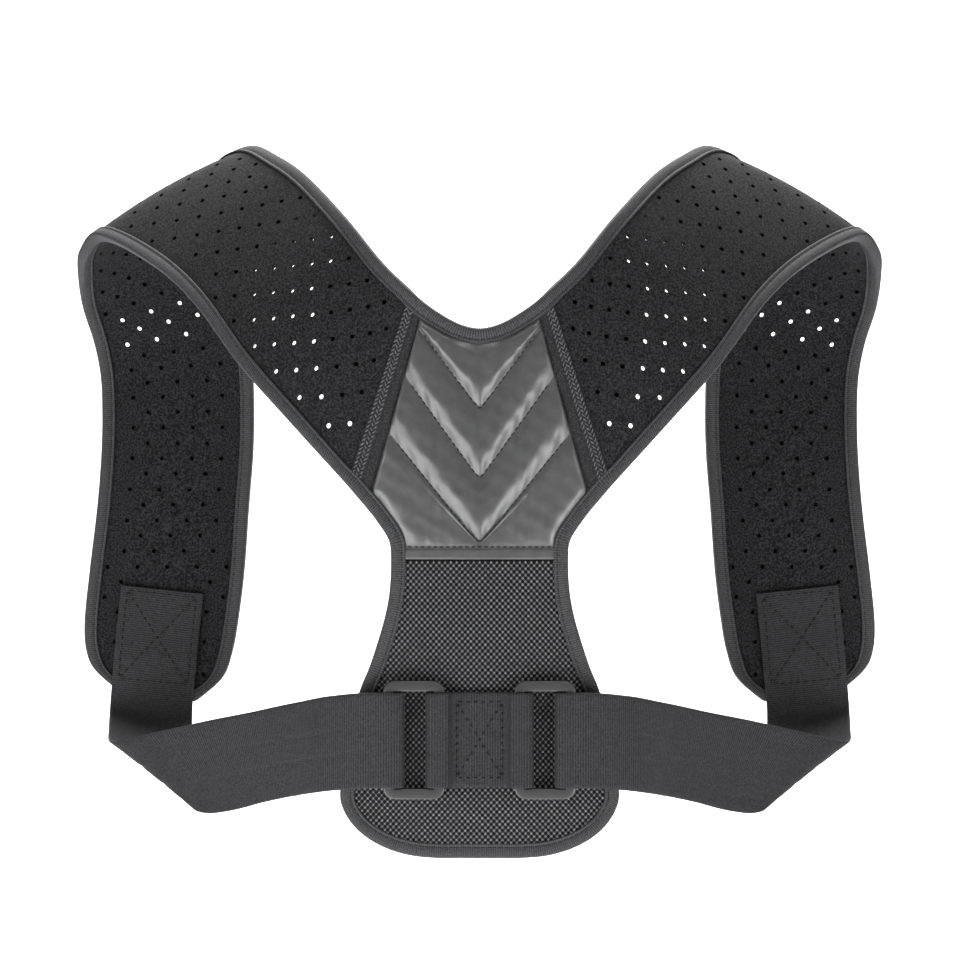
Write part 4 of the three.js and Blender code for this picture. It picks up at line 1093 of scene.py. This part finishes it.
def band_surface(rungs, shares):
    points = rungs[:, :1] * (1 - shares[None, :, None]) + rungs[:, 1:] * shares[None, :, None]
    along = np.gradient(points, axis=0)
    across = (rungs[:, 1] - rungs[:, 0])[:, None]
    return points, unit(np.cross(along, np.broadcast_to(across, along.shape)))


def webbing(name, rungs, closed=False, mirror=False):
    """A ribbed band: rounded edges, four faint grooves along it and a rib every other row."""
    inner = np.linspace(0.035, 0.965, 23)
    shares = np.concatenate([[0, 0.012], inner, [0.988, 1]])
    groove = np.zeros_like(shares)
    for place in (0.15, 0.38, 0.62, 0.85):
        groove += 0.2 * np.exp(-(((shares - place) / 0.016) ** 2))
    height = WEBBING / 2 - 0.07 - groove
    height[[0, -1]], height[[1, -2]] = 0.3, 0.66
    if closed:
        ring = np.concatenate([rungs[-1:], rungs, rungs[:1]])
        points, normals = (v[1:-1] for v in band_surface(ring, shares))
    else:
        points, normals = band_surface(rungs, shares)
    ribs = np.where(np.arange(len(rungs)) % 2, 0.11, -0.11)[:, None] * (height > 0.6)
    thick = (height[None] + ribs)[..., None]
    front, rear = points + normals * thick, points - normals * thick
    sections = np.concatenate([front, rear[:, ::-1]], axis=1)
    along = np.arange(len(rungs)) * RIB_STEP
    across = np.concatenate([shares, shares[::-1]]) * WEBBING_WIDTH
    uv = np.stack(np.meshgrid(along, across, indexing="ij"), -1).reshape(-1, 2)
    return tube(name, sections, uv, closed, mirror)


def on_band(rungs, place, share, side, lift):
    """A point on a face of the band: place counts rungs."""
    points, normals = band_surface(rungs, np.linspace(0, 1, 45))
    place = np.clip(place, 0, len(rungs) - 1.001)
    share = np.clip(np.asarray(share) * 44, 0, 43.999)
    i, j = place.astype(int), share.astype(int)
    a, b = (place - i)[:, None], (share - j)[:, None]
    def pick(v):
        return (v[i, j] * (1 - a) + v[i + 1, j] * a) * (1 - b) + (v[i, j + 1] * (1 - a) + v[i + 1, j + 1] * a) * b
    normal = unit(pick(normals)) * side
    return pick(points) + normal * lift, normal


def box_x(rungs, first, last, side, inset=0.08):
    """A sewn box with a cross, between two rungs."""
    lo, hi = inset, 1 - inset
    corners = [(first, lo), (last, lo), (last, hi), (first, hi), (first, lo)]
    lines = [(corners[i], corners[i + 1]) for i in range(4)]
    lines += [((first, lo), (last, hi)), ((last, lo), (first, hi))]
    rows = []
    for (p0, s0), (p1, s1) in lines:
        w = np.linspace(0, 1, 40)
        rows.append(on_band(rungs, mix(p0, p1, w), mix(s0, s1, w), side, WEBBING / 2 + 0.08))
    return rows


# %% Belts
rungs = belt_rungs()
print("belt length mm:", round(float(lengths(rungs.mean(1))[-1])))
heights = rungs[:, 0, 2]
patch_rows = []
for side_name, mirror in (("right", False), ("left", True)):
    belt = webbing(f"belt_{side_name}", rungs, mirror=mirror)
    finish(belt, WEBBING_FINISH, "webbing", f"belt_webbing_{side_name}")
    flip = np.array([-1, 1, 1]) if mirror else 1
    facing = 1 if band_surface(rungs[:40], np.array([0.5]))[1][20, 0, 1] < 0 else -1
    for line, normals in box_x(rungs, 4.0, 82.0, facing):
        patch_rows.append((line * flip, normals * flip))
finish(stitches("patch_stitches", patch_rows, 4.0, 2.5, 0.42), THREAD, "webbing")

# %% [markdown]
# ## Centre webbing
# The same tape as a closed band round the rings' inner bars, sewn to the mesh panel in the middle.

# %% Centre webbing
INNER_BAR = RING_CENTRE - RING_WIDTH / 2 + RING_BAR / 2
turn_at = INNER_BAR + LOOP_SLACK
rear = -(PAD / 2 + MESH_CROWN + LAYER_GAP + WEBBING / 2)
front, over = rear - PITCH, -RING_STANDOFF - WRAP
clear_of_bar = INNER_BAR - RING_BAR / 2 - LAYER_GAP - WEBBING / 2
angles = np.linspace(0, math.pi, 22)[1:-1]
half_path = [(0, front), (STITCHED_HALF, front)]
half_path += [
    (mix(STITCHED_HALF, clear_of_bar, share), mix(front, over, rise))
    for share, rise in ((0.4, 0.08), (0.68, 0.3), (0.86, 0.65), (1.02, 0.93), (1.35, 1))
]
half_path += [(turn_at, over)]
half_path += [(turn_at + WRAP * math.sin(a), -RING_STANDOFF - WRAP * math.cos(a)) for a in angles]
half_path += [(turn_at, -RING_STANDOFF + WRAP), (STITCHED_HALF, rear), (0, rear)]
half_path = np.array(half_path)
path = np.concatenate([half_path, (half_path * [-1, 1])[::-1][1:-1]])
loop = np.concatenate([path, path[:1]])
count = int(round(lengths(loop)[-1] / RIB_STEP / 2)) * 2
places = np.interp(np.linspace(0, lengths(loop)[-1], count + 1)[:-1], lengths(loop), np.arange(len(loop)))
path = smoothed(at_places(loop, places), 1, closed=True)
rungs = np.stack([
    np.stack([path[:, 0], path[:, 1], np.full(len(path), -RING_DROP + end * WEBBING_WIDTH / 2)], -1) for end in (1, -1)
], axis=1)
centre = webbing("centre_band", rungs, closed=True)
finish(centre, WEBBING_FINISH, "webbing", "centre_webbing")
rows = []
half_w, half_h = STITCHED_HALF - 0.9, WEBBING_WIDTH / 2 - 4.5
corners = [(-half_w, -half_h), (half_w, -half_h), (half_w, half_h), (-half_w, half_h), (-half_w, -half_h)]
lines = [(corners[i], corners[i + 1]) for i in range(4)] + [(corners[0], corners[2]), (corners[1], corners[3])]
for (x0, z0), (x1, z1) in lines:
    w = np.linspace(0, 1, 30)
    line = np.stack([mix(x0, x1, w), np.full(30, front - WEBBING / 2 - 0.08), -RING_DROP + mix(z0, z1, w)], -1)
    rows.append((line, np.tile([0, -1, 0], (30, 1))))
finish(stitches("centre_stitches", rows, 3.6, 1.9, 0.42), THREAD, "webbing")

# %% [markdown]
# ## Rings
# Moulded acetal, a rounded bar swept round a rectangle with rounded corners.

# %% Rings


def ring(name, mirror):
    half_w = (RING_WIDTH - RING_BAR) / 2
    half_h = (WEBBING_WIDTH + WINDOW_SLACK + RING_BAR) / 2
    radius = RING_CORNER - RING_BAR / 2
    path = []
    for cx, cz, begin in ((1, 1, 0), (-1, 1, 90), (-1, -1, 180), (1, -1, 270)):
        for a in np.radians(np.linspace(begin, begin + 90, 13)):
            path.append((cx * (half_w - radius) + radius * math.cos(a), cz * (half_h - radius) + radius * math.sin(a)))
    path = np.array(path)
    loop = np.concatenate([path, path[:1]])
    places = np.interp(np.linspace(0, lengths(loop)[-1], 161)[:-1], lengths(loop), np.arange(len(loop)))
    path = smoothed(at_places(loop, places), 1, closed=True)
    way = unit(np.roll(path, -1, 0) - np.roll(path, 1, 0))
    out = np.stack([way[:, 1], -way[:, 0]], -1)
    angle = np.linspace(0, 2 * math.pi, 25)[:-1]
    w = np.sign(np.cos(angle)) * np.abs(np.cos(angle)) ** 0.36 * RING_BAR / 2
    d = np.sign(np.sin(angle)) * np.abs(np.sin(angle)) ** 0.36 * RING_THICKNESS / 2
    flat = path[:, None] + out[:, None] * w[None, :, None]
    sections = np.stack([
        flat[..., 0] + RING_CENTRE, np.broadcast_to(d - RING_STANDOFF, flat.shape[:2]), flat[..., 1] - RING_DROP,
    ], -1)
    return tube(name, sections, closed=True, mirror=mirror)


for side_name, mirror in (("right", False), ("left", True)):
    finish(ring(f"ring_{side_name}", mirror), RING_FINISH, "ring_plastic", f"square_ring_{side_name}")

# %% [markdown]
# ## Studio
# A pale floor that curves up behind the object, soft light from above and both sides, and a camera
# level with the middle of the back, as in a product photograph.

# %% Studio
FLOOR_HEIGHT, WALL_DEPTH, SWEEP = -0.75, 1.75, 0.6
line = [(-3.5, FLOOR_HEIGHT), (WALL_DEPTH - SWEEP, FLOOR_HEIGHT)]
line += [
    (WALL_DEPTH - SWEEP + SWEEP * math.sin(a), FLOOR_HEIGHT + SWEEP * (1 - math.cos(a)))
    for a in np.radians(np.arange(6, 91, 6))
]
line += [(WALL_DEPTH, 3.0)]
points = [(x, y, z) for y, z in line for x in (-3, 3)]
floor_mesh = bpy.data.meshes.new("floor")
floor_mesh.from_pydata(points, [], [[2 * i, 2 * i + 1, 2 * i + 3, 2 * i + 2] for i in range(len(line) - 1)])
floor_mesh.polygons.foreach_set("use_smooth", [True] * len(floor_mesh.polygons))
floor = bpy.data.objects.new("floor", floor_mesh)
scene.collection.objects.link(floor)
pale, tree, shader = new_material("pale_floor", 0.9)
shader.inputs["Base Color"].default_value = (0.92, 0.92, 0.92, 1)
floor_mesh.materials.append(pale)

world = bpy.data.worlds.new("studio")
scene.world = world
world.use_nodes = True
world.node_tree.nodes["Background"].inputs[0].default_value = (1, 1, 1, 1)
world.node_tree.nodes["Background"].inputs[1].default_value = 0.16
scene.view_settings.view_transform = "Standard"


def softbox(name, place, target, size, power):
    data = bpy.data.lights.new(name, "AREA")
    data.shape, data.size, data.size_y, data.energy = "RECTANGLE", size[0], size[1], power
    lamp = bpy.data.objects.new(name, data)
    way = np.array(target) - np.array(place)
    lamp.location = place
    lamp.rotation_euler = Vector(way).to_track_quat("-Z", "Y").to_euler()
    scene.collection.objects.link(lamp)


softbox("top_light", (0.1, -0.65, 1.05), (0, -0.08, -0.1), (1.0, 0.5), 6.5)
softbox("left_light", (-1.2, -0.7, -0.1), (0, 0, -0.15), (0.25, 0.8), 4.5)
softbox("right_light", (1.2, -0.7, -0.1), (0, 0, -0.15), (0.25, 0.8), 4)
softbox("low_right_light", (0.45, -0.62, -0.5), (0, -0.09, -0.12), (0.3, 0.3), 2.6)
softbox("low_left_light", (-0.45, -0.62, -0.5), (0, -0.09, -0.12), (0.5, 0.5), 4.2)
softbox("wall_light", (0, 0.75, 2.1), (0, WALL_DEPTH, 0), (3.2, 0.6), 230)

camera = bpy.data.cameras.new("camera")
camera.sensor_width, camera.lens = 36, 88.58
eye = bpy.data.objects.new("camera", camera)
eye.location = (0.0002, -1.1 - RIDGE_DEPTH_SHARE * CHEST_DEPTH / 1000, (33 + FRAME_SHIFT[2]) / 1000)
eye.rotation_euler = (math.pi / 2, 0, 0)
scene.collection.objects.link(eye)
scene.camera = eye
